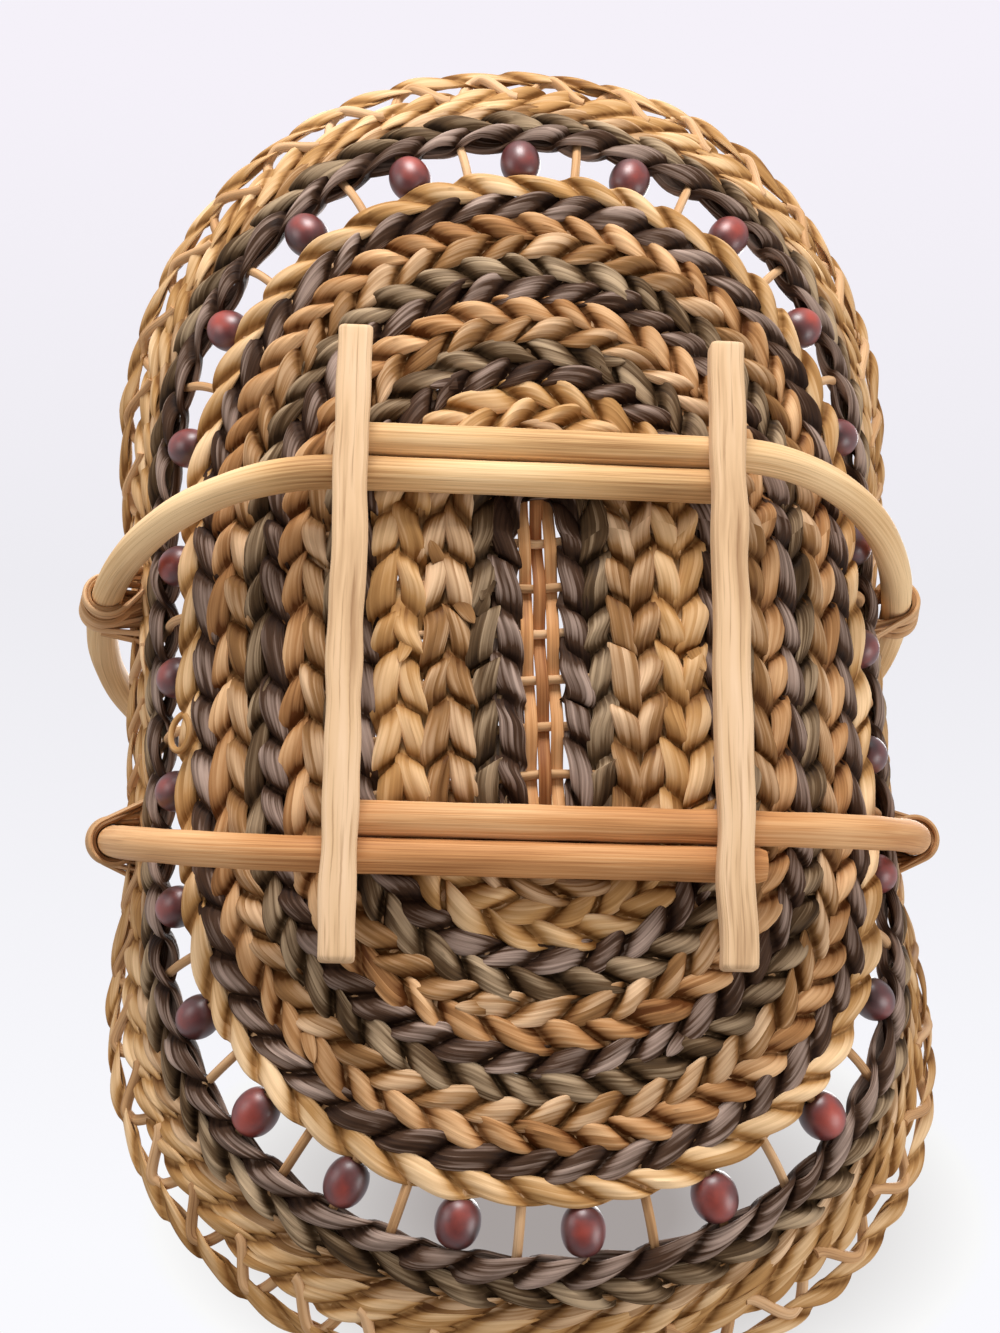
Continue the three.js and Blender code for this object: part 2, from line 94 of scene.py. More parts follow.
class TrayShape(PropertyGroup):
    """Sizes of the tray's curve and of its bands, measured along the weave from the spine."""

    spoke_count: IntProperty(name="Spokes", description="Spokes around the tray", default=50)
    cross_count: IntProperty(name="Cross spokes", description="Spokes that run right across", default=6)
    cross_end_inset: length("Cross spoke inset", "Last cross spoke to the spine's end", 0.00305)
    spoke_diameter: length("Spoke diameter", "Thickness of one spoke", 0.003)
    straight_half: length("Half straight", "Half of the tray's straight stretch", 0.0441)
    spine_half: length("Half spine", "Spine's middle to the first row", 0.0077)
    row_width: length("Row width", "Width of one chevron row", 0.01643)
    paired_rows: IntProperty(name="Chevron rows", description="Double rows in the floor", default=7)
    gallery_height: length("Gallery height", "Open height where the beads sit", 0.017)
    band_width: length("Band width", "Width of the dark band over the beads", 0.021)
    twine_width: length("Twine width", "Width of the thin row over the band", 0.0042)
    border_height: length("Border height", "Open height of the border", 0.0184)
    rim_width: length("Rim width", "Width of the rim rope", 0.0046)
    side_slope: angle("Side slope", "How far the sides turn up", 0.712)
    side_start: length("Side start", "Where the sides begin to turn up", 0.029)
    side_run: length("Side run", "Length over which the sides turn up", 0.0767)
    end_slope: angle("End slope", "How far the ends turn up", 0.534)
    end_start: length("End start", "Where the ends begin to turn up", 0.1317)
    end_run: length("End run", "Length over which the ends turn up", 0.13)
    slope_blend: number("Slope blend", "How sharply the sides pass into the ends", 2.63)
    side_lift: angle("Side lift", "Extra turn of the side gallery", 0.83)
    end_lift: angle("End lift", "Extra turn of the end gallery", 0.6)
    lift_lead: length("Lift lead", "Weave under the gallery that turns up with it", 0.0035)
    lift_run: length("Lift run", "Length over which the gallery turns up", 0.025)
    lift_blend: number("Lift blend", "How sharply the gallery's turn passes into the ends", 9.7)
    side_flare: angle("Side flare", "How far the side rim turns out again", 0.35)
    end_flare: angle("End flare", "How far the end rim turns out again", 0.32)
    flare_lead: length("Flare lead", "Gallery height that turns out with the rim", 0.004)
    flare_run: length("Flare run", "Length over which the rim turns out", 0.02)
    tray_turn: angle("Tray turn", "Turn of the tray in its hoops", 0.0392)
    tray_shift: length("Tray shift", "How far the tray sits to the right in its hoops", 0.0026)
    bend_share: number("Bend share", "Share of each quarter of the bead line that bends", 0.7)
    drift_cosine: FloatVectorProperty(
        name="Cosine drift", description="Uneven spoke spacing, in spoke pitches, by wave", size=4,
        default=(-0.203, 0.264, -0.117, 0.02))
    drift_sine: FloatVectorProperty(
        name="Sine drift", description="Uneven spoke spacing, in spoke pitches, by wave", size=4,
        default=(-0.093, -0.029, 0.05, -0.126))


class WeaveLook(PropertyGroup):
    """Sizes and colours of the twined strands."""

    leaf_length: length("Leaf length", "Length of one visible leaf at the tray's ends", 0.0158)
    leaf_crest: length("Leaf crest", "How far a strand swings to each side of the spokes", 0.0033)
    leaf_thick: length("Leaf thickness", "Thickness of one flat strand", 0.003)
    leaf_shift: length("Leaf shift", "Sideways swing of a strand's middle", 0.0014)
    side_slant: angle("Side slant", "How far a leaf's one edge runs ahead of the other along the sides", 0.5)
    end_slant: angle("End slant", "How far a leaf's one edge runs ahead of the other around the ends", 0.88)
    leaf_steps: IntProperty(name="Leaf steps", description="Loops of faces along one leaf", default=12)
    strand_sides: IntProperty(name="Strand sides", description="Faces around a strand", default=28)
    slender_sides: IntProperty(name="Slender sides", description="Faces around a slender strand", default=18)
    packing: number("Packing", "Strand width over its share of the row", 1.04)
    rope_depth: length("Rope depth", "Rope's middle below the spokes", 0.0014)
    fold_depth: length("Fold depth", "Depth of the lengthwise folds in a strand", 0.00014)
    band_share: number("Band share", "Share of the band's width that its dark strands fill", 0.74)
    edge_rows: IntProperty(
        name="Edge rows", description="Slender ropes along the band's outer edge", default=3)
    edge_width: length("Edge width", "Width of a slender rope along the band's outer edge", 0.0061)
    crown_width: length("Crown width", "Width of the slender rope along the rim", 0.0066)
    bend_drop: length("Bend drop", "How far under the rim's middle the bent spoke ends run", 0.0022)
    bend_reach: number("Bend reach", "Spoke pitches that a bent spoke end covers", 1.05)
    bend_swell: number("Bend swell", "Thickness of a bent spoke end over the spoke's", 1.2)
    spine_stretch: length("Spine stretch", "How far the first row stands off the spine's ends", 0.008)
    stretch_reach: length("Stretch reach", "Distance at which that has faded", 0.044)
    # The deep colours are the darkest fibres and, through the painted shade, the strands' crevices
    charcoal_deep: colour("Charcoal deep", "Dark strands, crevices", (0.022, 0.010, 0.006))
    charcoal_body: colour("Charcoal body", "Dark strands, body", (0.063, 0.031, 0.017))
    charcoal_bright: colour("Charcoal bright", "Dark strands, worn fibres", (0.430, 0.309, 0.250))
    olive_deep: colour("Olive deep", "Grey brown strands, crevices", (0.024, 0.012, 0.005))
    olive_body: colour("Olive body", "Grey brown strands, body", (0.100, 0.057, 0.027))
    olive_bright: colour("Olive bright", "Grey brown strands, worn fibres", (0.480, 0.342, 0.212))
    tan_deep: colour("Tan deep", "Tan strands, crevices", (0.095, 0.034, 0.008))
    tan_body: colour("Tan body", "Tan strands, body", (0.285, 0.141, 0.052))
    tan_bright: colour("Tan bright", "Tan strands, worn fibres", (0.776, 0.522, 0.319))
    amber_deep: colour("Amber deep", "Orange strands, crevices", (0.105, 0.033, 0.008))
    amber_body: colour("Amber body", "Orange strands, body", (0.395, 0.190, 0.072))
    amber_bright: colour("Amber bright", "Orange strands, worn fibres", (0.791, 0.491, 0.262))
    golden_deep: colour("Golden deep", "Pale strands, crevices", (0.182, 0.073, 0.018))
    golden_body: colour("Golden body", "Pale strands, body", (0.455, 0.240, 0.086))
    golden_bright: colour("Golden bright", "Pale strands, worn fibres", (0.896, 0.617, 0.356))


class StickLook(PropertyGroup):
    """Sizes and colours of the cane, rattan, runners and beads."""

    cane_diameter: length("Cane diameter", "Thickness of the hoops", 0.0122)
    hoop_spacing: length("Hoop spacing", "Between the hoops at the runners", 0.1336)
    hoop_overrun: length("Hoop flat overrun", "Flat stretch past the runner's middle", 0.0015)
    hoop_crown: length("Hoop crown", "Height of the handle's upper curve", 0.19)
    hoop_lean: number("Hoop lean", "Lean of the hoops towards each other", 0.21)
    handle_gap: length("Handle gap", "Between the two handles at the top", 0.014)
    bar_overrun: length("Bar overrun", "Cane end past the far runner", 0.005)
    poking_overrun: length("Poking overrun", "Longer cane end at the front", 0.012)
    runner_corner: length("Runner corner", "Rounding of the runner's edges", 0.0017)
    bead_diameter: length("Bead diameter", "Thickest part of a bead", 0.0152)
    bead_bore: length("Bead bore", "Hole through a bead", 0.0042)
    strip_width: length("Strip width", "Width of a spine strip", 0.0044)
    strip_thick: length("Strip thickness", "Thickness of a spine strip", 0.0011)
    lash_width: length("Lashing width", "Width of the lashing strip", 0.0034)
    lash_reach: length("Lashing reach", "How far the lashing fans out along the rim", 0.011)
    lash_thick: length("Lashing thickness", "Thickness of the lashing strip", 0.002)
    cane_deep: colour("Cane deep", "Cane, dark streaks", (0.238, 0.093, 0.023))
    cane_body: colour("Cane body", "Cane, body", (0.660, 0.395, 0.178))
    cane_bright: colour("Cane bright", "Cane, pale streaks", (0.890, 0.622, 0.347))
    ruddy_deep: colour("Ruddy cane deep", "Front cane, dark streaks", (0.223, 0.072, 0.021))
    ruddy_body: colour("Ruddy cane body", "Front cane, body", (0.565, 0.266, 0.102))
    ruddy_bright: colour("Ruddy cane bright", "Front cane, pale streaks", (0.791, 0.468, 0.231))
    runner_deep: colour("Runner deep", "Runner, dark grain", (0.262, 0.117, 0.042))
    runner_body: colour("Runner body", "Runner, body", (0.690, 0.455, 0.262))
    runner_bright: colour("Runner bright", "Runner, pale grain", (0.820, 0.580, 0.385))
    rattan_deep: colour("Rattan deep", "Spokes and rim, dark streaks", (0.165, 0.066, 0.022))
    rattan_body: colour("Rattan body", "Spokes and rim, body", (0.560, 0.315, 0.148))
    rattan_bright: colour("Rattan bright", "Spokes and rim, pale streaks", (0.760, 0.500, 0.295))
    # The bright bead colour is worn stain in the patches and also the painted glow on each bead's outward
    # side
    bead_deep: colour("Bead deep", "Bead, dark stain", (0.022, 0.006, 0.007))
    bead_body: colour("Bead body", "Bead, body", (0.125, 0.021, 0.019))
    bead_bright: colour("Bead bright", "Bead, worn stain", (0.380, 0.042, 0.020))
    nail_steel: colour("Nail steel", "Nails", (0.27, 0.275, 0.28))


class StageLook(PropertyGroup):
    """Camera, light and background."""

    camera_place: FloatVectorProperty(
        name="Camera place", description="Where the photograph was taken from", size=3,
        default=(-0.0680, 0.1966, -0.6578), subtype="TRANSLATION")
    camera_aim: FloatVectorProperty(
        name="Camera aim", description="Point in the middle of the picture", size=3,
        default=(-0.0113, 0.0031, 0.03), subtype="TRANSLATION")
    camera_roll: angle("Camera roll", "Turn of the picture", -0.0107)
    camera_lens: number("Lens", "Focal length in millimetres on a sensor 36 high", 56.05)
    pale_upper: colour("Pale upper", "Background towards the tray's back end", (0.913, 0.879, 0.947))
    pale_middle: colour("Pale middle", "Background behind the hoops", (0.847, 0.838, 0.880))
    pale_lower: colour("Pale lower", "Background towards the tray's front end", (0.956, 0.956, 0.991))
    pale_shade: colour("Pale shade", "Background shaded by the tray's front end", (0.38, 0.345, 0.335))
    shade_aim: FloatVectorProperty(
        name="Shade aim", description="Point of the tray behind which the background is shaded", size=3,
        default=(0.012, 0.184, 0.036), subtype="TRANSLATION")
    ambient: number("Ambient", "Strength of the light from all around", 0.45)
    floor_colour: colour("Floor", "Floor under the runners", (0.82, 0.82, 0.84))


# Tray surface


def ease(value):
    """Smooth step from 0 to 1: 3 v^2 - 2 v^3 with v held between 0 and 1."""
    held = np.clip(value, 0, 1)
    return held * held * (3 - 2 * held)


class TraySurface:
    """The woven tray as a function of spoke number, distance along the weave and depth under it.

    A spoke's slope grows with the distance by smooth steps that blend from the sides into the ends. Its reach
    and rise are the sums of the slope's cosine and sine. Spoke numbers run clockwise seen from below, from 0
    at the middle of the -Y end, and may be fractions.
    """

    facing_steps = 61
    distance_steps = 421
    table_edge = 0.21
    track_steps = 100

    def __init__(self, shape):
        self.shape = shape
        self.spoke_level = SPINE_STRIP[1].z + CLEARANCE + shape.spoke_diameter / 2
        self.cross_pitch = 2 * (shape.straight_half - shape.cross_end_inset) / (shape.cross_count - 1)
        self.first_cross = shape.spoke_count / 4 - (shape.cross_count - 1) / 2
        self.weave_edge = shape.spine_half + (shape.paired_rows + 1) * shape.row_width
        self.band_start = self.weave_edge + shape.gallery_height
        self.twine_start = self.band_start + shape.band_width
        self.rim_start = self.twine_start + shape.twine_width + shape.border_height
        self.rim_line = self.rim_start + shape.rim_width / 2
        self.bead_line = self.weave_edge + shape.gallery_height / 2
        self.fill_tables()
        self.walk_bead_line()

    def slope_at(self, distance, facing):
        """Slope angle of the weave at a distance on a spoke that faces the side (0) or the end (pi / 2)."""
        shape = self.shape
        side = np.abs(np.cos(facing)) ** shape.slope_blend
        lift = np.abs(np.cos(facing)) ** shape.lift_blend
        side_turn = shape.side_slope * ease((distance - shape.side_start) / shape.side_run)
        end_turn = shape.end_slope * ease((distance - shape.end_start) / shape.end_run)
        rim_turn = ease((distance - self.weave_edge + shape.lift_lead) / shape.lift_run)
        rim_lift = shape.side_lift * lift + shape.end_lift * (1 - lift)
        flare_turn = ease((distance - self.band_start + shape.flare_lead) / shape.flare_run)
        rim_flare = shape.side_flare * lift + shape.end_flare * (1 - lift)
        return side_turn * side + end_turn * (1 - side) + rim_lift * rim_turn - rim_flare * flare_turn

    def fill_tables(self):
        """Reach and rise over a grid of facings and distances, as running sums of middle slopes."""
        facings = np.linspace(0, np.pi / 2, self.facing_steps)[:, None]
        step = self.table_edge / (self.distance_steps - 1)
        middles = (np.arange(self.distance_steps - 1)[None, :] + 0.5) * step
        slopes = self.slope_at(middles, facings)
        start = np.zeros((self.facing_steps, 1))
        self.reach_table = np.hstack([start, np.cumsum(np.cos(slopes) * step, axis=1)])
        self.rise_table = np.hstack([start, np.cumsum(np.sin(slopes) * step, axis=1)])

    def look_up(self, table, facing, distance):
        """Value of a table between its grid points, straight in both directions."""
        row = facing / (np.pi / 2) * (self.facing_steps - 1)
        column = distance / self.table_edge * (self.distance_steps - 1)
        low_row = np.clip(np.floor(row).astype(int), 0, self.facing_steps - 2)
        low_column = np.clip(np.floor(column).astype(int), 0, self.distance_steps - 2)
        down = row - low_row
        over = column - low_column
        near = table[low_row, low_column] * (1 - over) + table[low_row, low_column + 1] * over
        far = table[low_row + 1, low_column] * (1 - over) + table[low_row + 1, low_column + 1] * over
        return near * (1 - down) + far * down

    def walk_bead_line(self):
        """The bead line as a racetrack: a bend over most of each quarter, then half of a straight side."""
        shape = self.shape
        share = np.arange(self.track_steps) / self.track_steps
        along = np.concatenate([share, 1 - share, share, 1 - share])
        right = np.repeat([1, 1, -1, -1], self.track_steps)
        down = np.repeat([-1, 1, 1, -1], self.track_steps)
        facing = np.pi / 2 * (1 - np.minimum(along / shape.bend_share, 1))
        straight = 1 - np.maximum(along - shape.bend_share, 0) / (1 - shape.bend_share)
        reach = self.look_up(self.reach_table, facing, self.bead_line)
        rise = self.look_up(self.rise_table, facing, self.bead_line)
        across = right * reach * np.cos(facing)
        forward = down * (shape.straight_half * straight + reach * np.sin(facing))
        spots = np.stack([across, forward, rise], axis=1)
        spots = np.vstack([spots, spots[:1]])
        steps = np.linalg.norm(np.diff(spots, axis=0), axis=1)
        self.walked = np.concatenate([[0], np.cumsum(steps)])
        self.track_spots = spots
        self.track_facing = np.append(facing, facing[0])

    def spoke_lay(self, spoke):
        """Facing, root and outward reach of a spoke at the bead line.

        The spokes are spread evenly along the bead line and then moved by a sum of slow waves.
        """
        shape = self.shape
        share = spoke / shape.spoke_count
        drift = np.zeros_like(share)
        for wave in range(len(shape.drift_cosine)):
            turn = 2 * np.pi * (wave + 1) * share
            drift = drift + shape.drift_cosine[wave] * np.cos(turn) + shape.drift_sine[wave] * np.sin(turn)
        goal = np.mod(share + drift / shape.spoke_count, 1) * self.walked[-1]
        facing = np.interp(goal, self.walked, self.track_facing)
        spot_x = np.interp(goal, self.walked, self.track_spots[:, 0])
        spot_y = np.interp(goal, self.walked, self.track_spots[:, 1])
        wrapped = np.mod(spoke, shape.spoke_count)
        mirrored = np.minimum(wrapped, shape.spoke_count - wrapped)
        root_y = (mirrored - shape.spoke_count / 4) * self.cross_pitch
        root_y = np.clip(root_y, -shape.straight_half, shape.straight_half)
        return facing, root_y, spot_x, spot_y - root_y

    def point(self, spoke, distance, depth):
        """Place on the tray: root + outward share of the reach, moved by the depth square to the slope."""
        spoke, distance, depth = np.broadcast_arrays(
            np.asarray(spoke, float), np.asarray(distance, float), np.asarray(depth, float))
        facing, root_y, out_x, out_y = self.spoke_lay(spoke)
        span = np.hypot(out_x, out_y)
        slope = self.slope_at(distance, facing)
        share = self.look_up(self.reach_table, facing, distance)
        share = share / self.look_up(self.reach_table, facing, self.bead_line)
        push = depth * np.sin(slope) / span
        across = out_x * (share + push)
        forward = root_y + out_y * (share + push)
        height = self.spoke_level + self.look_up(self.rise_table, facing, distance) - depth * np.cos(slope)
        return self.placed(across, forward, height)

    def placed(self, across, forward, height):
        """Place of a tray point in the hoops: turned, then moved sideways."""
        return self.turned(across, forward, height) + np.array([self.shape.tray_shift, 0.0, 0.0])

    def turned(self, across, forward, height):
        """Turns a direction by the tray's turn in its hoops."""
        cosine = np.cos(self.shape.tray_turn)
        sine = np.sin(self.shape.tray_turn)
        return np.stack([cosine * across + sine * forward, cosine * forward - sine * across, height], axis=-1)


# Meshes from grids of points


def grid_faces(rows, columns, ring):
    """Quads of a grid of loops: the columns always close up, the rows only in a ring."""
    row = np.arange(rows if ring else rows - 1)[:, None]
    column = np.arange(columns)[None, :]
    next_row = (row + 1) % rows
    next_column = (column + 1) % columns
    corners = [
        row * columns + column, next_row * columns + column,
        next_row * columns + next_column, row * columns + next_column,
    ]
    return np.stack(np.broadcast_arrays(*corners), axis=-1).reshape(-1, 4)


def grid_uvs(along, around):
    """Corner UVs of the same quads, with the length and the girth carried past the seam."""
    row = np.arange(len(along) - 1)[:, None]
    column = np.arange(len(around) - 1)[None, :]
    row, column = np.broadcast_arrays(row, column)
    rows = [row, row + 1, row + 1, row]
    columns = [column, column, column + 1, column + 1]
    u = np.stack([along[one] for one in rows], axis=-1)
    v = np.stack([around[one] for one in columns], axis=-1)
    return np.stack([u, v], axis=-1).reshape(-1, 2)


def enclosed(points, faces):
    """Six times the volume inside closed quads, negative where they face inwards."""
    a, b, c, d = (points[faces[:, corner]] for corner in range(4))
    first = np.einsum("ij,ij->i", a, np.cross(b, c))
    second = np.einsum("ij,ij->i", a, np.cross(c, d))
    return float(np.sum(first + second))


def tube(loops, ring, along, around, tone, painted_shade, finish=0):
    """One closed tube through loops of points; an open one is capped at both ends with a last point.

    A cap's triangle is kept as a quad whose last two corners are the same.
    """
    rows, columns = loops.shape[:2]
    points = loops.reshape(-1, 3)
    faces = grid_faces(rows, columns, ring)
    uvs = grid_uvs(along, around)
    tones = np.broadcast_to(tone, (rows, columns)).reshape(-1)
    painted_shades = np.broadcast_to(painted_shade, (rows, columns)).reshape(-1)
    if not ring:
        last = (rows - 1) * columns
        column = np.arange(columns)
        turn = (column + 1) % columns
        first_tip = np.full(columns, len(points))
        last_tip = first_tip + 1
        first_cap = np.stack([first_tip, column, turn, turn], axis=1)
        last_cap = np.stack([last_tip, last + turn, last + column, last + column], axis=1)
        points = np.vstack([points, loops[0].mean(axis=0), loops[-1].mean(axis=0)])
        tones = np.append(tones, [tones[0], tones[-1]])
        painted_shades = np.append(painted_shades, [painted_shades[0], painted_shades[-1]])
        caps = np.vstack([first_cap, last_cap])
        cap_uvs = np.zeros((len(caps) * 4, 2))
        cap_uvs[:, 1] = np.tile(CAP_UVS, len(caps))
        cap_uvs[:len(first_cap) * 4, 0] = along[0]
        cap_uvs[len(first_cap) * 4:, 0] = along[-1]
        faces = np.vstack([faces, caps])
        uvs = np.vstack([uvs, cap_uvs])
    if enclosed(points, faces) < 0:
        faces = faces[:, ::-1]
        uvs = uvs.reshape(-1, 4, 2)[:, ::-1].reshape(-1, 2)
    finishes = np.full(len(faces), finish)
    return {"points": points, "faces": faces, "uvs": uvs, "tone": tones, "painted_shade": painted_shades, "finish": finishes}


def add_piece(name, parts, materials, replaced):
    """Joins tubes into one mesh object with their UVs, tone and painted shade attributes, and rides it on the
    body.

    Quads with two equal corners become triangles.
    """
    starts = np.cumsum([0] + [len(part["points"]) for part in parts[:-1]])
    points = np.vstack([part["points"] for part in parts])
    faces = np.vstack([part["faces"] + start for part, start in zip(parts, starts)])
    uvs = np.vstack([part["uvs"] for part in parts])
    keep = np.ones(faces.shape, bool)
    keep[faces[:, 2] == faces[:, 3], 3] = False
    keep[faces[:, 0] == faces[:, 1], 0] = False
    corner_counts = keep.sum(axis=1)
    flat = faces[keep]
    mesh = bpy.data.meshes.new(name)
    mesh.vertices.add(len(points))
    mesh.vertices.foreach_set("co", points.astype(np.float32).ravel())
    mesh.loops.add(len(flat))
    mesh.loops.foreach_set("vertex_index", flat.astype(np.int32))
    mesh.polygons.add(len(faces))
    loop_starts = np.concatenate([[0], np.cumsum(corner_counts)[:-1]])
    mesh.polygons.foreach_set("loop_start", loop_starts.astype(np.int32))
    finishes = np.concatenate([part["finish"] for part in parts])
    mesh.polygons.foreach_set("material_index", finishes.astype(np.int32))
    layer = mesh.uv_layers.new(name=STRAND_UV)
    layer.uv.foreach_set("vector", uvs[keep.ravel()].astype(np.float32).ravel())
    for key in ("tone", "painted_shade"):
        values = np.concatenate([part[key] for part in parts])
        stored = mesh.attributes.new(key, "FLOAT", "POINT")
        stored.data.foreach_set("value", values.astype(np.float32))
    mesh.update(calc_edges=True)
    mesh.validate()
    mesh.shade_smooth()
    mesh.set_sharp_from_angle(angle=SHARP_ANGLE)
    for material in materials:
        mesh.materials.append(material)
    piece = bpy.data.objects.new(name, mesh)
    bpy.context.scene.collection.objects.link(piece)
    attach(piece, "root")
    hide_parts(*replaced)


def path_lengths(path):
    """Running length along a path of points."""
    return np.concatenate([[0], np.cumsum(np.linalg.norm(np.diff(path, axis=0), axis=1))])


def stick_loops(path, radii, upright, sides):
    """Loops of a round stick: a circle square to the path at each of its points."""
    tangent = np.gradient(path, axis=0)
    tangent /= np.linalg.norm(tangent, axis=1, keepdims=True)
    across = np.cross(np.broadcast_to(upright, path.shape), tangent)
    across /= np.linalg.norm(across, axis=1, keepdims=True)
    lift = np.cross(tangent, across)
    turn = np.linspace(0, 2 * np.pi, sides, endpoint=False)[None, :, None]
    round_spot = np.cos(turn) * across[:, None] + np.sin(turn) * lift[:, None]
    return path[:, None] + round_spot * np.asarray(radii).reshape(len(path), -1, 1)


def stick(path, radii, upright, sides, tone, finish=0, offset=0.0):
    """A capped round stick with UVs along and around it."""
    loops = stick_loops(path, radii, upright, sides)
    along = (path_lengths(path) + offset) / UV_UNIT
    girth = 2 * np.pi * float(np.mean(radii))
    around = np.linspace(0, girth, sides + 1) / UV_UNIT + offset
    return tube(loops, False, along, around, tone, 0.0, finish)


def wobble(rng, share, waves, size):
    """Unevenness around a closed loop: a sum of sine waves with random phases and sizes."""
    orders = np.arange(1, waves + 1)
    phases = rng.uniform(0, 2 * np.pi, waves)
    sizes = rng.normal(0, size, waves) / np.sqrt(waves)
    return np.sum(sizes * np.sin(2 * np.pi * orders * share[:, None] + phases), axis=1)


def per_leaf(rng, leaves, total, low, high):
    """A random value for each leaf, passed smoothly from one leaf to the next around a closed loop."""
    values = rng.uniform(low, high, total)
    index = np.floor(leaves).astype(int)
    part = ease(leaves - index)
    return values[index % total] * (1 - part) + values[(index + 1) % total] * part


# Twined ropes

# Points around a rope's loop for each spoke, and spokes over which a side passes into an end
RUN_STEPS = 40
END_PASSAGE = 3
# Powers of a strand's section and of its swing: less than 1 makes them squarer
EDGE_POWER = 0.8
FACE_POWER = 0.75
SWING_POWER = 0.6
# How much less a strand's edges swing than its middle, and how closely the loops lie where the strands cross
EDGE_SLACK = 0.25
CROWDING = 0.08
# Waves and size of the rope's sway and of the leaves' lag, and of the wandering of a strand's folds
SWAY = (30, 0.0005)
LAG = (24, 0.1)
FOLD_WANDER = (24, 1.5)
# Folds across a strand, as waves over its half width, and the most by which one is moved at the start
FOLD_WAVES = (1.5, 2.5, 4.0)
FOLD_START = 6
# Least and most of a leaf's share of the slant, of the width and of the swing, and its tilt in metres
LEAF_SLANTS = (0.7, 1.3)
LEAF_WIDTHS = (0.88, 1.12)
LEAF_CRESTS = (0.8, 1.15)
LEAF_TILTS = (-0.0011, 0.0011)
# Width that leaves lose where the inner rows stand off the spine's ends
SPINE_NARROWING = 0.18
# Girth of a strand over its width, and the stretch over which the strands' grain is scattered
STRAND_GIRTH = 2.1
GRAIN_SCATTER = 40


def rope_run(tray, leaf_length, distance, depth):
    """Spoke numbers around a rope's loop, the leaves passed at each of them and the loop's length.

    Along the straight sides each spoke is crossed by one leaf; around the ends the leaves keep their length.
    A leaf's middle lies on the first cross spoke.
    """
    shape = tray.shape
    quarter = shape.spoke_count / 4
    inner = tray.first_cross
    spokes = np.linspace(0, shape.spoke_count, RUN_STEPS * shape.spoke_count + 1)
    lengths = path_lengths(tray.point(spokes, distance, depth))
    knots = np.array([0, inner, 2 * quarter - inner, 2 * quarter + inner, 4 * quarter - inner, 4 * quarter])
    knot_lengths = np.interp(knots, spokes, lengths)
    spans = np.diff(knot_lengths)
    end_leaves = max(round((spans[0] + spans[2] + spans[4]) / 2 / leaf_length), 2)
    side_leaves = shape.cross_count - 1
    counts = np.cumsum([0, end_leaves / 2, side_leaves, end_leaves, side_leaves, end_leaves / 2])
    leaves = np.interp(lengths, knot_lengths, counts)
    return {
        "spokes": spokes, "leaves": leaves, "total": int(counts[-1]), "first": counts[1],
        "length": lengths[-1],
    }


def signed_power(value, power):
    """Power of a value's size that keeps its sign."""
    return np.sign(value) * np.abs(value) ** power


def end_share(shape, spoke):
    """0 along the straight sides, passing to 1 around the tray's ends."""
    mirrored = np.minimum(spoke, shape.spoke_count - spoke)
    return ease((np.abs(mirrored - shape.spoke_count / 4) - (shape.cross_count - 1) / 2) / END_PASSAGE)


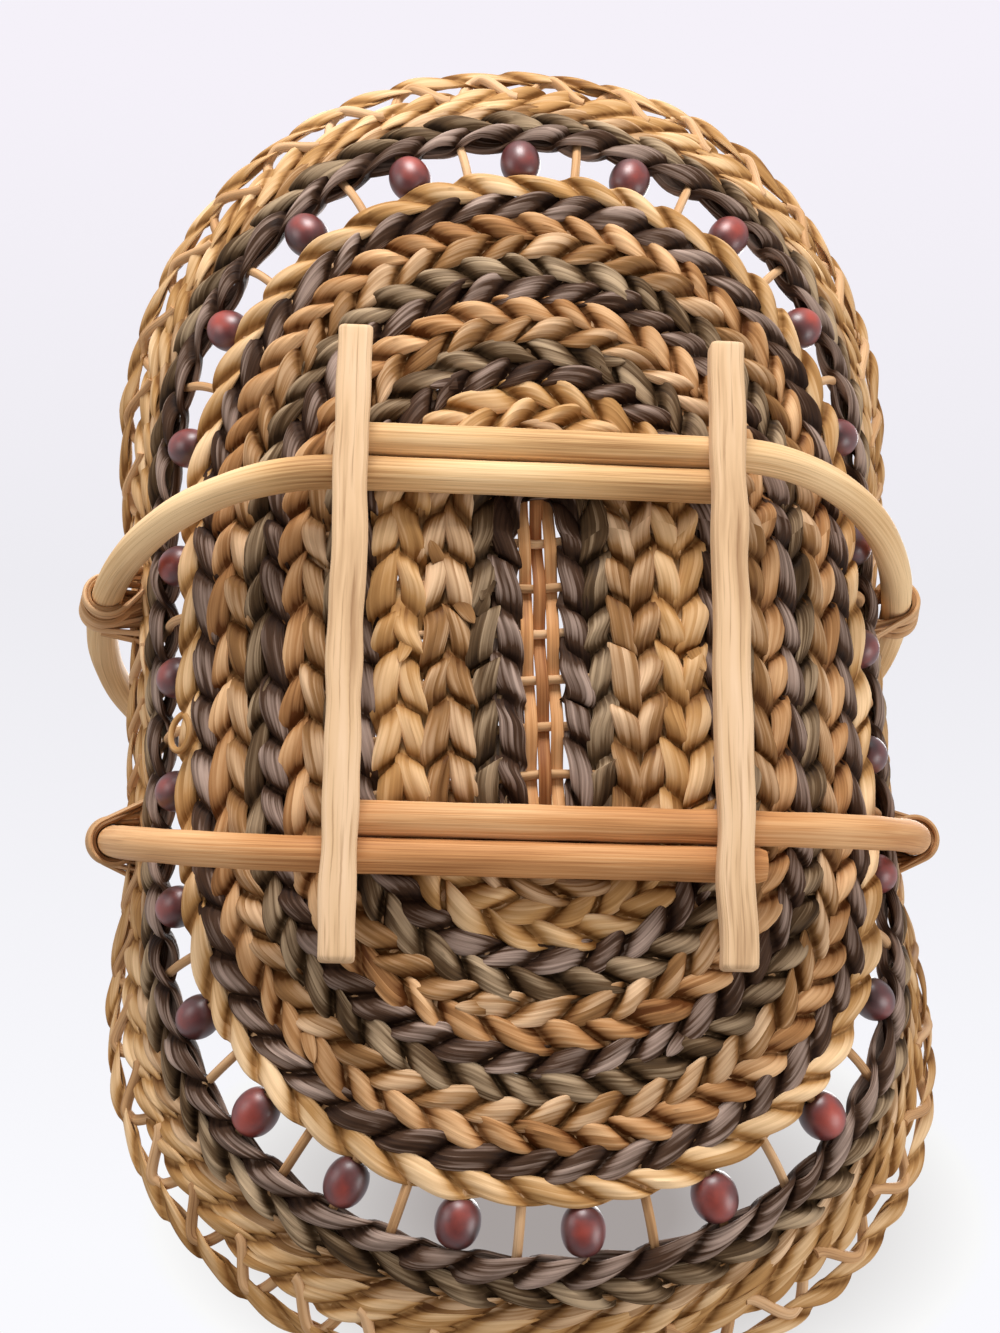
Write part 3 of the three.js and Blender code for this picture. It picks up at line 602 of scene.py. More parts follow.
def leaf_rope(tray, look, rng, distance, width, hand, sides, finish=0, plump=1.0, pale=0.0, draw=1.0):
    """Two flat strands that swap sides of the spokes at each leaf.

    A strand's section is a flat oval: t runs across it from -1 to 1. Its depth swings by
    crest * cos(pi * beat), and each loop of points is sheared along the row by hand * slant * t, so one edge
    of a leaf runs ahead of the other and two ropes of opposite hand meet in chevrons. The slant passes from
    its value along the sides to its value around the ends. The loops lie closer where the strands cross.
    Folds along the strands, uneven leaves and a slow sway make it look hand made. A plump rope swings further
    and is thicker, a pale one has a lighter tone, and a drawn one has longer leaves at the ends.
    """
    shape = tray.shape
    run = rope_run(tray, draw * look.leaf_length, distance, look.rope_depth)
    total = run["total"]
    count = np.arange(total * look.leaf_steps) / look.leaf_steps
    share = count / total
    beat = count + CROWDING * np.sin(2 * np.pi * count)
    turn = np.linspace(0, 2 * np.pi, sides, endpoint=False)[None, :]
    spread = signed_power(np.sin(turn), EDGE_POWER)
    lift = signed_power(np.cos(turn), FACE_POWER)
    stretch = look.spine_stretch * max(1 - distance / look.stretch_reach, 0)
    sway = wobble(rng, share, *SWAY)[:, None]
    lag = wobble(rng, share, *LAG)[:, None]
    middle = np.interp(np.mod(beat + run["first"], total), run["leaves"], run["spokes"])
    lean = look.side_slant + (look.end_slant - look.side_slant) * end_share(shape, middle)[:, None]
    parts = []
    for start in (0, 1):
        leaves = beat + start
        wave = np.cos(np.pi * leaves)[:, None]
        slant = lean * per_leaf(rng, leaves, total, *LEAF_SLANTS)[:, None]
        ahead = beat[:, None] + lag + hand * slant * spread / np.pi
        spoke = np.interp(np.mod(ahead + run["first"], total), run["leaves"], run["spokes"])
        end = end_share(shape, spoke)
        fullness = per_leaf(rng, leaves, total, *LEAF_WIDTHS)[:, None]
        fullness = fullness * (1 - SPINE_NARROWING * (stretch > 0) * end)
        crest = plump * look.leaf_crest * per_leaf(rng, leaves, total, *LEAF_CRESTS)[:, None]
        tilt = per_leaf(rng, leaves, total, *LEAF_TILTS)[:, None]
        folds = np.zeros((len(count), sides))
        for fold in FOLD_WAVES:
            slide = wobble(rng, share, *FOLD_WANDER)[:, None] + rng.uniform(0, FOLD_START)
            folds = folds + look.fold_depth * np.cos(np.pi * fold * spread + slide)
        shift = hand * look.leaf_shift * np.sin(np.pi * leaves[:, None] + hand * slant * spread)
        place = distance + sway + spread * width / 2 * fullness + shift
        swing = crest * signed_power(wave, SWING_POWER) * (1 - EDGE_SLACK * spread ** 2)
        thickness = lift * (plump * look.leaf_thick / 2 + folds)
        depth = look.rope_depth + swing + tilt * spread * np.abs(wave) + thickness
        outward = -stretch * end * np.sign(np.cos(2 * np.pi * spoke / shape.spoke_count))
        loops = tray.point(spoke, place, depth) + tray.turned(0 * outward, outward, 0 * outward)
        tone = pale + per_leaf(rng, leaves, total, 0.0, 1.0)[:, None]
        # Painted shade: darkest where the two strands cross and dive behind each other
        painted_shade = (1 - np.abs(wave)) ** 2
        offset = rng.uniform(0, GRAIN_SCATTER)
        along = np.linspace(0, run["length"], len(count) + 1) / UV_UNIT + offset
        around = np.linspace(0, STRAND_GIRTH * width, sides + 1) / UV_UNIT + offset
        parts.append(tube(loops, True, along, around, tone, painted_shade, finish))
    return parts


# Materials


def add_node(tree, kind, **values):
    """A shader node with its inputs set by name, or by number as n0, n1 and so on.

    A socket is linked and anything else is a constant. A name that starts with set_ is a setting of the node.
    """
    node = tree.nodes.new(kind)
    for key, value in values.items():
        if key.startswith("set_"):
            setattr(node, key[4:], value)
            continue
        socket = node.inputs[int(key[1:])] if key[0] == "n" and key[1:].isdigit() else node.inputs[key]
        if isinstance(value, bpy.types.NodeSocket):
            tree.links.new(value, socket)
        else:
            socket.default_value = value
    return node


def start_material(name):
    """An empty node material with its output and a principled shader."""
    material = bpy.data.materials.new(name)
    material.use_nodes = True
    tree = material.node_tree
    shader = tree.nodes["Principled BSDF"]
    return material, tree, shader


def ramp(tree, factor, stops):
    """A colour ramp through (position, colour) stops."""
    node = add_node(tree, "ShaderNodeValToRGB", n0=factor)
    elements = node.color_ramp.elements
    while len(elements) < len(stops):
        elements.new(0.5)
    for element, (position, value) in zip(elements, stops):
        element.position = position
        element.color = (*value, 1)
    return node.outputs[0]


def reckon(tree, operation, first, second):
    """One arithmetic node."""
    return add_node(tree, "ShaderNodeMath", set_operation=operation, n0=first, n1=second).outputs[0]


def vector_node(tree, operation, *values):
    """One vector arithmetic node."""
    inputs = {f"n{index}": value for index, value in enumerate(values)}
    return add_node(tree, "ShaderNodeVectorMath", set_operation=operation, **inputs)


def scaled(tree, value, factor, offset):
    """A value times a factor plus an offset, as one node."""
    node = add_node(tree, "ShaderNodeMath", set_operation="MULTIPLY_ADD", n0=value, n1=factor, n2=offset)
    return node.outputs[0]


def swung(tree, noise, size):
    """Noise moved to swing around zero, times a size."""
    return reckon(tree, "MULTIPLY", reckon(tree, "SUBTRACT", noise, 0.5), size)


def streaks(tree, along, around, detail):
    """Noise on the piece's own UVs, drawn out along its length."""
    place = add_node(tree, "ShaderNodeUVMap", set_uv_map=STRAND_UV).outputs[0]
    stretched = add_node(tree, "ShaderNodeMapping", Vector=place, Scale=(along, around, 1)).outputs[0]
    return add_node(tree, "ShaderNodeTexNoise", Vector=stretched, Scale=1.0, Detail=detail).outputs[0]


def cloudy(tree, fineness, detail):
    """Noise on Object coordinates, the same in all directions."""
    place = add_node(tree, "ShaderNodeTexCoord").outputs["Object"]
    return add_node(tree, "ShaderNodeTexNoise", Vector=place, Scale=fineness, Detail=detail).outputs[0]


def attribute(tree, name):
    """A value kept on the mesh."""
    return add_node(tree, "ShaderNodeAttribute", set_attribute_name=name).outputs["Fac"]


def mix_colours(tree, blend, share, first, second):
    """Two colours blended into one."""
    node = add_node(
        tree, "ShaderNodeMix", set_data_type="RGBA", set_blend_type=blend, n0=share, n6=first, n7=second)
    return node.outputs[2]


def add_relief(tree, shader, height, strength, depth):
    """A bump on the shader's normal."""
    bump = add_node(tree, "ShaderNodeBump", Strength=strength, Distance=depth, Height=height).outputs[0]
    tree.links.new(bump, shader.inputs["Normal"])


def fibre_material(name, deep, body, bright, grain):
    """Dried leaf: a tone for each leaf, slow patches, ribs and fine fibres along it, and painted shade in
    creases.
    """
    material, tree, shader = start_material(name)
    fibres = streaks(tree, along=0.4, around=13.0, detail=4.0)
    ribs = streaks(tree, along=0.2, around=4.5, detail=2.0)
    patches = streaks(tree, along=0.35, around=0.9, detail=2.0)
    tone = scaled(tree, attribute(tree, "tone"), factor=0.36, offset=0.42)
    fine = swung(tree, fibres, size=1.2 * grain)
    broad = swung(tree, ribs, size=0.7 * grain)
    patch = swung(tree, patches, size=1.3)
    # The painted shade lowers the level towards the deep colour where the strands cross
    painted_darkening = reckon(tree, "MULTIPLY", attribute(tree, "painted_shade"), 0.55)
    streaked = reckon(tree, "ADD", fine, broad)
    level = reckon(tree, "ADD", reckon(tree, "ADD", tone, streaked), patch)
    level = reckon(tree, "SUBTRACT", level, painted_darkening)
    tint = ramp(tree, level, [(0.0, deep), (0.45, body), (1.0, bright)])
    tree.links.new(tint, shader.inputs["Base Color"])
    tree.links.new(scaled(tree, fibres, factor=0.4, offset=0.38), shader.inputs["Roughness"])
    height = reckon(tree, "ADD", fibres, ribs)
    add_relief(tree, shader, height, strength=0.55 * grain, depth=0.0008)
    shader.inputs["Specular IOR Level"].default_value = 0.08
    return material


def stick_material(name, deep, body, bright, fine):
    """Cane or split wood: long streaks, fine dark grain dashes and slow patches along the stick."""
    material, tree, shader = start_material(name)
    grain = streaks(tree, along=0.15, around=fine, detail=4.0)
    dashes = streaks(tree, along=0.25, around=fine * 4, detail=2.0)
    patches = streaks(tree, along=0.12, around=0.5, detail=2.0)
    spread = swung(tree, grain, size=1.1)
    patch = swung(tree, patches, size=0.8)
    tone = scaled(tree, attribute(tree, "tone"), factor=0.3, offset=0.4)
    level = reckon(tree, "ADD", reckon(tree, "ADD", tone, spread), patch)
    tint = ramp(tree, level, [(0.0, deep), (0.5, body), (1.0, bright)])
    specks = ramp(tree, dashes, [(0.32, (0.5, 0.4, 0.32)), (0.45, (1, 1, 1))])
    mixed = mix_colours(tree, "MULTIPLY", share=0.6, first=tint, second=specks)
    tree.links.new(mixed, shader.inputs["Base Color"])
    tree.links.new(scaled(tree, grain, factor=0.25, offset=0.45), shader.inputs["Roughness"])
    add_relief(tree, shader, grain, strength=0.4, depth=0.0004)
    shader.inputs["Specular IOR Level"].default_value = 0.12
    return material


def bead_material(look):
    """Stained wood under lacquer: dark and worn patches on Object coordinates, a painted glow from the tone,
    a glossy coat.
    """
    material, tree, shader = start_material("bead_lacquer")
    patches = cloudy(tree, fineness=90.0, detail=4.0)
    level = scaled(tree, attribute(tree, "tone"), factor=0.2, offset=-0.2)
    level = reckon(tree, "ADD", level, patches)
    tint = ramp(tree, level, [(0.2, look.bead_deep), (0.5, look.bead_body), (0.85, look.bead_bright)])
    tree.links.new(tint, shader.inputs["Base Color"])
    tree.links.new(scaled(tree, patches, factor=0.2, offset=0.3), shader.inputs["Roughness"])
    shader.inputs["Coat Weight"].default_value = 0.8
    shader.inputs["Coat Roughness"].default_value = 0.48
    return material


def steel_material(look):
    """Plain nail steel with fine uneven polish."""
    material, tree, shader = start_material("dull_steel")
    polish = cloudy(tree, fineness=900.0, detail=3.0)
    shader.inputs["Base Color"].default_value = (*look.nail_steel, 1)
    shader.inputs["Metallic"].default_value = 1.0
    tree.links.new(scaled(tree, polish, factor=0.3, offset=0.25), shader.inputs["Roughness"])
    return material


# Strength of each fibre's grain, and fineness of each stick's
FIBRE_GRAIN = {"charcoal": 1.0, "olive": 0.9, "tan": 0.7, "amber": 0.7, "golden": 0.55}
STICK_GRAIN = {"cane": 11.0, "ruddy": 11.0, "runner": 11.0, "rattan": 6.0}


def three_tints(look, name):
    """The deep, body and bright colour of that name."""
    return [getattr(look, f"{name}_{part}") for part in ("deep", "body", "bright")]


def fibre(name):
    """The fibre material of that name, made when it is first asked for."""
    made = bpy.data.materials.get(f"{name}_leaf")
    return made or fibre_material(
        f"{name}_leaf", *three_tints(bpy.context.scene.trug_weave, name), FIBRE_GRAIN[name])


def wood(name):
    """The cane, rattan or runner material of that name, made when it is first asked for."""
    made = bpy.data.materials.get(f"{name}_grain")
    return made or stick_material(
        f"{name}_grain", *three_tints(bpy.context.scene.trug_sticks, name), STICK_GRAIN[name])


# Operators, one for each group of pieces

ROW_FIBRES = (
    ("charcoal", "olive"), ("tan", "tan"), ("golden", "golden"), ("charcoal", "olive"),
    ("tan", "amber"), ("charcoal", "olive"), ("tan", "amber"),
)

# The two single rows: piece, node, fibre, slot, hand, fill, plump, pale and draw
SINGLE_ROWS = (
    ("twined_row_8", "weave_row_8_dark", "charcoal", "dark_fibre", 1, 1.0, 0.95, 0.0, 1.08),
    ("twined_row_9", "weave_row_9_light", "golden", "golden_fibre", -1, 0.9, 0.85, 0.3, 1.25),
)

# Loose leaf ends: row, finish in the row, spoke number, distance, heading along the row, length and width
LEAF_ENDS = (
    (1, 1, 39.1, 0.0175, 2.8, 0.0090, 0.0056), (1, 1, 38.3, 0.0215, -0.4, 0.0090, 0.0050),
    (2, 0, 38.6, 0.0280, -2.6, 0.0095, 0.0056), (2, 1, 39.4, 0.0345, 0.4, 0.0080, 0.0050),
    (3, 0, 37.9, 0.0450, 2.8, 0.0100, 0.0050), (3, 1, 12.6, 0.0520, 0.4, 0.0090, 0.0050),
    (4, 1, 2.6, 0.0690, 0.4, 0.0090, 0.0050), (4, 0, 46.9, 0.0620, 2.8, 0.0095, 0.0048),
    (5, 0, 26.5, 0.0790, 0.3, 0.0100, 0.0050), (5, 1, 34.2, 0.0850, 2.9, 0.0090, 0.0060),
    (6, 0, 21.4, 0.0960, 0.4, 0.0090, 0.0050), (7, 1, 30.3, 0.1150, 2.6, 0.0110, 0.0050),
)


class TRUG_OT_rows(Operator):
    """Twine the chevron rows of the floor and the two single rows at its edge"""

    bl_idname = "trug.rows"
    bl_label = "Rows"

    # Loose leaf ends: grid, share of the length that is built, lift of the tip, half thickness, tone, painted
    # root shade
    end_steps = 10
    end_sides = 12
    end_built = 0.99
    end_lift = 0.0012
    end_half = 0.0005
    end_tone = 0.6
    end_painted_shade = 0.6

    # The curl: first and last angle, grid, and its middle as a spoke number and a distance from the edge
    curl_angles = (0.2, 1.75 * np.pi)
    curl_steps = 30
    curl_sides = 10
    curl_spoke = 36.85
    curl_inset = 0.005
    # Its reach in spokes and in metres, its depth at the start and for each radian, its radius and tone
    curl_spokes = 0.33
    curl_reach = 0.0055
    curl_depth = 0.0055
    curl_climb = 0.0008
    curl_radius = 0.0012
    curl_tone = 0.2

    def leaf_end(self, tray, look, spoke, distance, heading, size, width, finish):
        """A loose leaf end: a flat blade that rises out of the weave and tapers to a blunt point.

        At the share s of its length the blade is width * (1 - s^3)^0.7 wide.
        """
        share = np.linspace(0, self.end_built, self.end_steps)[:, None]
        turn = np.linspace(0, 2 * np.pi, self.end_sides, endpoint=False)[None, :]
        step = 0.1
        over = tray.point(spoke + step, distance, 0.0) - tray.point(spoke, distance, 0.0)
        pitch = np.linalg.norm(over) / step
        half = width / 2 * (1 - share ** 3) ** 0.7 * np.cos(turn)
        ahead = share * size * np.cos(heading) - half * np.sin(heading)
        aside = share * size * np.sin(heading) + half * np.cos(heading)
        lift = look.rope_depth + look.leaf_crest + self.end_lift * share + self.end_half * np.sin(turn)
        loops = tray.point(spoke + ahead / pitch, distance + aside, lift)
        along = share[:, 0] * size / UV_UNIT + GRAIN_SCATTER * distance
        around = np.linspace(0, 2 * width, turn.size + 1) / UV_UNIT
        # Painted shade darkens each blade towards the root where it leaves the weave
        return tube(loops, False, along, around, self.end_tone, self.end_painted_shade * (1 - share) ** 2, finish)

    def curl(self, tray):
        """A strand's end that stands off the pale edge row in most of a circle, rising as it turns."""
        turn = np.linspace(*self.curl_angles, self.curl_steps)
        spoke = self.curl_spoke + self.curl_spokes * np.cos(turn)
        distance = tray.weave_edge - self.curl_inset + self.curl_reach * np.sin(turn)
        path = tray.point(spoke, distance, self.curl_depth + self.curl_climb * turn)
        radii = np.full(len(turn), self.curl_radius)
        upright = np.array([0.3, 0.2, 1.0])
        return stick(path, radii, upright, self.curl_sides, self.curl_tone)

    def execute(self, context):
        tray = TraySurface(context.scene.trug_tray)
        look = context.scene.trug_weave
        shape = tray.shape
        half = shape.row_width / 2
        rng = np.random.default_rng(11)
        for row in range(shape.paired_rows):
            start = shape.spine_half + row * shape.row_width
            width = half * look.packing
            parts = []
            for side, hand in enumerate((1, -1)):
                middle = start + (side + 0.5) * half
                parts += leaf_rope(tray, look, rng, middle, width, hand, look.strand_sides, finish=side)
            for owner, finish, *place in LEAF_ENDS:
                if owner == row + 1:
                    parts.append(self.leaf_end(tray, look, *place, finish))
            materials = [fibre(name) for name in ROW_FIBRES[row]]
            add_piece(f"twined_row_{row + 1}", parts, materials, [f"weave_row_{row + 1}"])
        start = shape.spine_half + shape.paired_rows * shape.row_width
        for side, (name, node, tint, slot, hand, fill, plump, pale, draw) in enumerate(SINGLE_ROWS):
            middle = start + (side + 0.5) * half
            width = fill * half * look.packing
            parts = leaf_rope(
                tray, look, rng, middle, width, hand, look.strand_sides, plump=plump, pale=pale, draw=draw)
            if tint == "golden":
                parts.append(self.curl(tray))
            add_piece(name, parts, [fibre(tint)], [node])
        return {"FINISHED"}


class TRUG_OT_band(Operator):
    """Twine the dark double band over the bead gallery"""

    bl_idname = "trug.band"
    bl_label = "Band"

    def execute(self, context):
        tray = TraySurface(context.scene.trug_tray)
        look = context.scene.trug_weave
        half = look.band_share * tray.shape.band_width / 2
        rng = np.random.default_rng(23)
        width = half * look.packing
        parts = []
        for side, hand in enumerate((1, -1)):
            middle = tray.band_start + (side + 0.5) * half
            parts += leaf_rope(
                tray, look, rng, middle, width, hand, look.strand_sides,
                finish=side, plump=1.15, pale=0.2, draw=1.2)
        add_piece("twined_band", parts, [fibre("charcoal"), fibre("olive")], ["outer_band"])
        return {"FINISHED"}


class TRUG_OT_border(Operator):
    """Twine the slender ropes along the band's outer edge and along the rim"""

    bl_idname = "trug.border"
    bl_label = "Border"

    # Width of an edge rope over its share of the border
    edge_overlap = 1.15

    def execute(self, context):
        tray = TraySurface(context.scene.trug_tray)
        look = context.scene.trug_weave
        shape = tray.shape
        rng = np.random.default_rng(31)
        first_line = tray.band_start + look.band_share * shape.band_width + look.edge_width / 2
        width = self.edge_overlap * look.edge_width
        sides = look.slender_sides
        parts = []
        for row in range(look.edge_rows):
            line = first_line + row * look.edge_width
            finish = min(row, 1)
            parts += leaf_rope(
                tray, look, rng, line, width, 1, sides, finish=finish, plump=0.55, pale=0.1, draw=1.15)
        add_piece("border_rope", parts, [fibre("tan"), fibre("golden")], ["border_twine"])
        crown_line = tray.rim_start + shape.rim_width - look.crown_width / 2
        parts = leaf_rope(
            tray, look, rng, crown_line, look.crown_width, -1, sides, plump=0.5, pale=0.1, draw=1.25)
        add_piece("rim_coil", parts, [fibre("golden")], ["rim_rope"])
        return {"FINISHED"}


class TRUG_OT_spokes(Operator):
    """Lay the cross spokes and the two end fans, with their ends bent over in the border"""

    bl_idname = "trug.spokes"
    bl_label = "Spokes"

    # Points along the weave and over the bend, and faces around a spoke
    lay_steps = 70
    bend_steps = 48
    sides = 10

    # Thickness over the setting, and where the end spokes start, in half spines
    girth = 1.1
    fan_start = 2.2

    # Shares of the bend: where the climb ends, where the end begins to sink, and what it loses of the climb
    climb_end = 0.42
    sink_start = 0.5
    sink_share = 0.65

    # Depth on the inside, the passage from there to the outside, and where the swelling is full
    inside_depth = 0.0006
    passage_depth = 0.0032
    passage_start = 0.3
    passage_share = 0.3
    swell_end = 0.2

    def spoke_path(self, tray, look, first_spoke, start):
        """Along the weave to the band's edge, up under the rim inside and part of the way down outside.

        While the end bends over in this arch, the spoke number runs on by the bend's reach. Also gives the
        stick's thickness over its thickness in the floor.
        """
        lay = np.linspace(start, tray.twine_start, self.lay_steps)
        straight = tray.point(first_spoke, lay, 0.0)
        bent = np.linspace(0, 1, self.bend_steps)[1:]
        sink = ease((bent - self.sink_start) / (1 - self.sink_start))
        climb = ease(bent / self.climb_end) * (1 - self.sink_share * sink)
        distance = lay[-1] + (tray.rim_line - look.bend_drop - lay[-1]) * climb
        spoke = first_spoke + look.bend_reach * bent
        passage = ease((bent - self.passage_start) / self.passage_share)
        over = tray.point(spoke, distance, self.passage_depth * passage - self.inside_depth)
        bend_swell = 1 + (look.bend_swell - 1) * ease(bent / self.swell_end)
        return np.vstack([straight, over]), np.concatenate([np.ones(len(lay)), bend_swell])

    def spoke_stick(self, rng, shape, path, swell):
        """A round spoke along a path, with a tone and grain of its own."""
        radii = swell * (self.girth * shape.spoke_diameter / 2)
        upright = np.array([0.0, 0.0, 1.0])
        return stick(path, radii, upright, self.sides, rng.uniform(), 0, rng.uniform(0, 5))

    def execute(self, context):
        tray = TraySurface(context.scene.trug_tray)
        look = context.scene.trug_weave
        shape = tray.shape
        rng = np.random.default_rng(41)
        first = int(np.ceil(tray.first_cross))
        for index in range(shape.cross_count):
            right, right_swell = self.spoke_path(tray, look, float(first + index), 0.0)
            left, left_swell = self.spoke_path(tray, look, float(shape.spoke_count - first - index), 0.0)
            path = np.vstack([left[::-1], right[1:]])
            swell = np.concatenate([left_swell[::-1], right_swell[1:]])
            part = self.spoke_stick(rng, shape, path, swell)
            add_piece(f"through_spoke_{index + 1}", [part], [wood("rattan")],
                      [f"cross_spoke_{index + 1}"])
        numbers = np.arange(shape.spoke_count)
        mirrored = np.minimum(numbers, shape.spoke_count - numbers)
        fans = (
            ("fan_spokes_back", "spoke_fan_back", numbers[mirrored < first]),
            ("fan_spokes_front", "spoke_fan_front", numbers[mirrored >= first + shape.cross_count]),
        )
        for name, node, members in fans:
            parts = []
            for member in members:
                path, swell = self.spoke_path(tray, look, float(member), self.fan_start * shape.spine_half)
                parts.append(self.spoke_stick(rng, shape, path, swell))
            add_piece(name, parts, [wood("rattan")], [node])
        return {"FINISHED"}


class TRUG_OT_spine(Operator):
    """Interlace the three spine strips with the cross spokes"""

    bl_idname = "trug.spine"
    bl_label = "Spine strips"

    # Grid, sideways sway, powers of the strip's flat oval section, and its girth over its width
    steps = 90
    sides = 16
    sway = 0.0002
    sway_pace = 0.7
    edge_power = 0.5
    face_power = 0.7
    girth = 2.4

    # Strip, tone and slot
    strips = (("left", 0.6, "golden_fibre"), ("middle", -0.8, "rattan"), ("right", 0.6, "golden_fibre"))

    def execute(self, context):
        tray = TraySurface(context.scene.trug_tray)
        sticks = context.scene.trug_sticks
        shape = tray.shape
        rng = np.random.default_rng(53)
        reach = shape.straight_half + shape.spine_half + context.scene.trug_weave.spine_stretch
        forward = np.linspace(-reach, reach, self.steps)
        crossing = np.pi * (forward / tray.cross_pitch - 0.5)
        swing = (shape.spoke_diameter + sticks.strip_thick) / 2
        turn = np.linspace(0, 2 * np.pi, self.sides, endpoint=False)[None, :]
        flat = signed_power(np.cos(turn), self.edge_power)
        crown = signed_power(np.sin(turn), self.face_power)
        for index, (name, tone, slot) in enumerate(self.strips):
            middle = (index - 1) * (sticks.strip_width + CLEARANCE / 3)
            height = tray.spoke_level + swing * np.cos(crossing + np.pi * index)
            across = middle + self.sway * np.sin(crossing * self.sway_pace)
            loops = tray.placed(
                across[:, None] + flat * sticks.strip_width / 2,
                np.broadcast_to(forward[:, None], (len(forward), turn.size)),
                height[:, None] + crown * sticks.strip_thick / 2)
            along = forward / UV_UNIT + rng.uniform(0, 20)
            around = np.linspace(0, self.girth * sticks.strip_width, turn.size + 1) / UV_UNIT
            part = tube(loops, False, along, around, tone, 0.0)
            add_piece(f"spine_ribbon_{name}", [part], [wood("ruddy")], [f"spine_strip_{name}"])
        return {"FINISHED"}


class TRUG_OT_beads(Operator):
    """Thread a turned bead on every other spoke of the gallery"""

    bl_idname = "trug.beads"
    bl_label = "Beads"

    # Points along a bead's profile and around it, the angle that its bore cuts off, and its curve's power
    profile_steps = 26
    sides = 40
    cut = 0.3
    power = 0.8

    # Lip of the bore, spread of the sizes, and tone: spread between beads and a painted glow on the outward
    # side
    lip_width = 0.0003
    lip_depth = 0.0006
    sizes = (0.95, 1.03)
    tones = (0.0, 0.6)
    worn = 1.6

    def profile(self, sticks, half):
        """Radii and heights around a bead's section: a sine curve outside, then down through the bore."""
        turn = np.linspace(self.cut, np.pi - self.cut, self.profile_steps)
        outer = np.sin(turn) ** self.power * sticks.bead_diameter / 2
        height = -half * np.cos(turn) / np.cos(self.cut)
        bore = sticks.bead_bore / 2
        lip = np.array([bore + self.lip_width, bore, bore, bore + self.lip_width])
        lip_height = np.array([half, half - self.lip_depth, -half + self.lip_depth, -half])
        return np.concatenate([outer, lip]), np.concatenate([height, lip_height])

    def execute(self, context):
        tray = TraySurface(context.scene.trug_tray)
        sticks = context.scene.trug_sticks
        shape = tray.shape
        rng = np.random.default_rng(61)
        material = bead_material(sticks)
        radii, heights = self.profile(sticks, shape.gallery_height / 2 - CLEARANCE)
        turn = np.linspace(0, 2 * np.pi, self.sides, endpoint=False)[None, :, None]
        along = np.linspace(0, 3, len(radii) + 1)
        around = np.linspace(0, 3, self.sides + 1)
        probe = 0.001
        for index in range(shape.spoke_count // 2):
            spoke = float(2 * index)
            low = tray.point(spoke, tray.weave_edge, 0.0)
            high = tray.point(spoke, tray.band_start, 0.0)
            middle = (low + high) / 2
            axis = (high - low) / np.linalg.norm(high - low)
            side = np.cross(axis, [0.0, 0.0, 1.0])
            side /= np.linalg.norm(side)
            front = np.cross(axis, side)
            size = rng.uniform(*self.sizes)
            circle = np.cos(turn) * side + np.sin(turn) * front
            loops = middle + heights[:, None, None] * axis + circle * radii[:, None, None] * size
            outside = tray.point(spoke, tray.bead_line, probe) - tray.point(spoke, tray.bead_line, 0.0)
            facing = (loops - middle) @ outside / probe / (sticks.bead_diameter / 2)
            # Painted glow: the side that faces out of the tray is lightened towards the bright colour as if
            # lit
            tone = rng.uniform(*self.tones) + self.worn * np.clip(facing, 0, 1) ** 3
            part = tube(loops, True, along, around, tone, 0.0)
            add_piece(f"turned_bead_{index + 1}", [part], [material], [f"bead_{index + 1}"])
        return {"FINISHED"}


# Points along a hoop's bar and over each of its quarter ellipses
ARM_STEPS = 60


def hoop_arm(sticks, end, side, overrun):
    """Middle line of half a hoop: its lapped bar, a quarter ellipse to the shoulder and one to the top.

    The hoop leans inwards by lean * up - slack * up^2. The lap's sideways shift fades out towards the top.
    """
    radius = sticks.cane_diameter / 2
    runner_x = (RIGHT_RUNNER[0].x + RIGHT_RUNNER[1].x) / 2
    bar_height = RIGHT_RUNNER[1].z + CLEARANCE + radius
    low, high = HOOPS[end]
    half_width = (high.x if side > 0 else -low.x) - radius
    total = high.z - radius - bar_height
    shoulder = total - sticks.hoop_crown
    flat = runner_x + sticks.hoop_overrun
    bar = np.linspace(-side * (runner_x + overrun), side * flat, ARM_STEPS)
    quarter = np.linspace(0, np.pi / 2, ARM_STEPS)[1:]
    across = np.concatenate([
        bar, side * (flat + (half_width - flat) * np.sin(quarter)), side * half_width * np.cos(quarter)])
    up = np.concatenate([
        np.zeros_like(bar), shoulder * (1 - np.cos(quarter)), shoulder + sticks.hoop_crown * np.sin(quarter)])
    top_reach = sticks.hoop_spacing / 2 - radius - sticks.handle_gap / 2
    slack = (sticks.hoop_lean * total - top_reach) / total ** 2
    lean = sticks.hoop_lean * up - slack * up ** 2
    lap = side * (radius + CLEARANCE / 2) * (1 - up / total)
    forward = end * (sticks.hoop_spacing / 2 - lean) - lap
    return np.stack([across, forward, bar_height + up], axis=1)


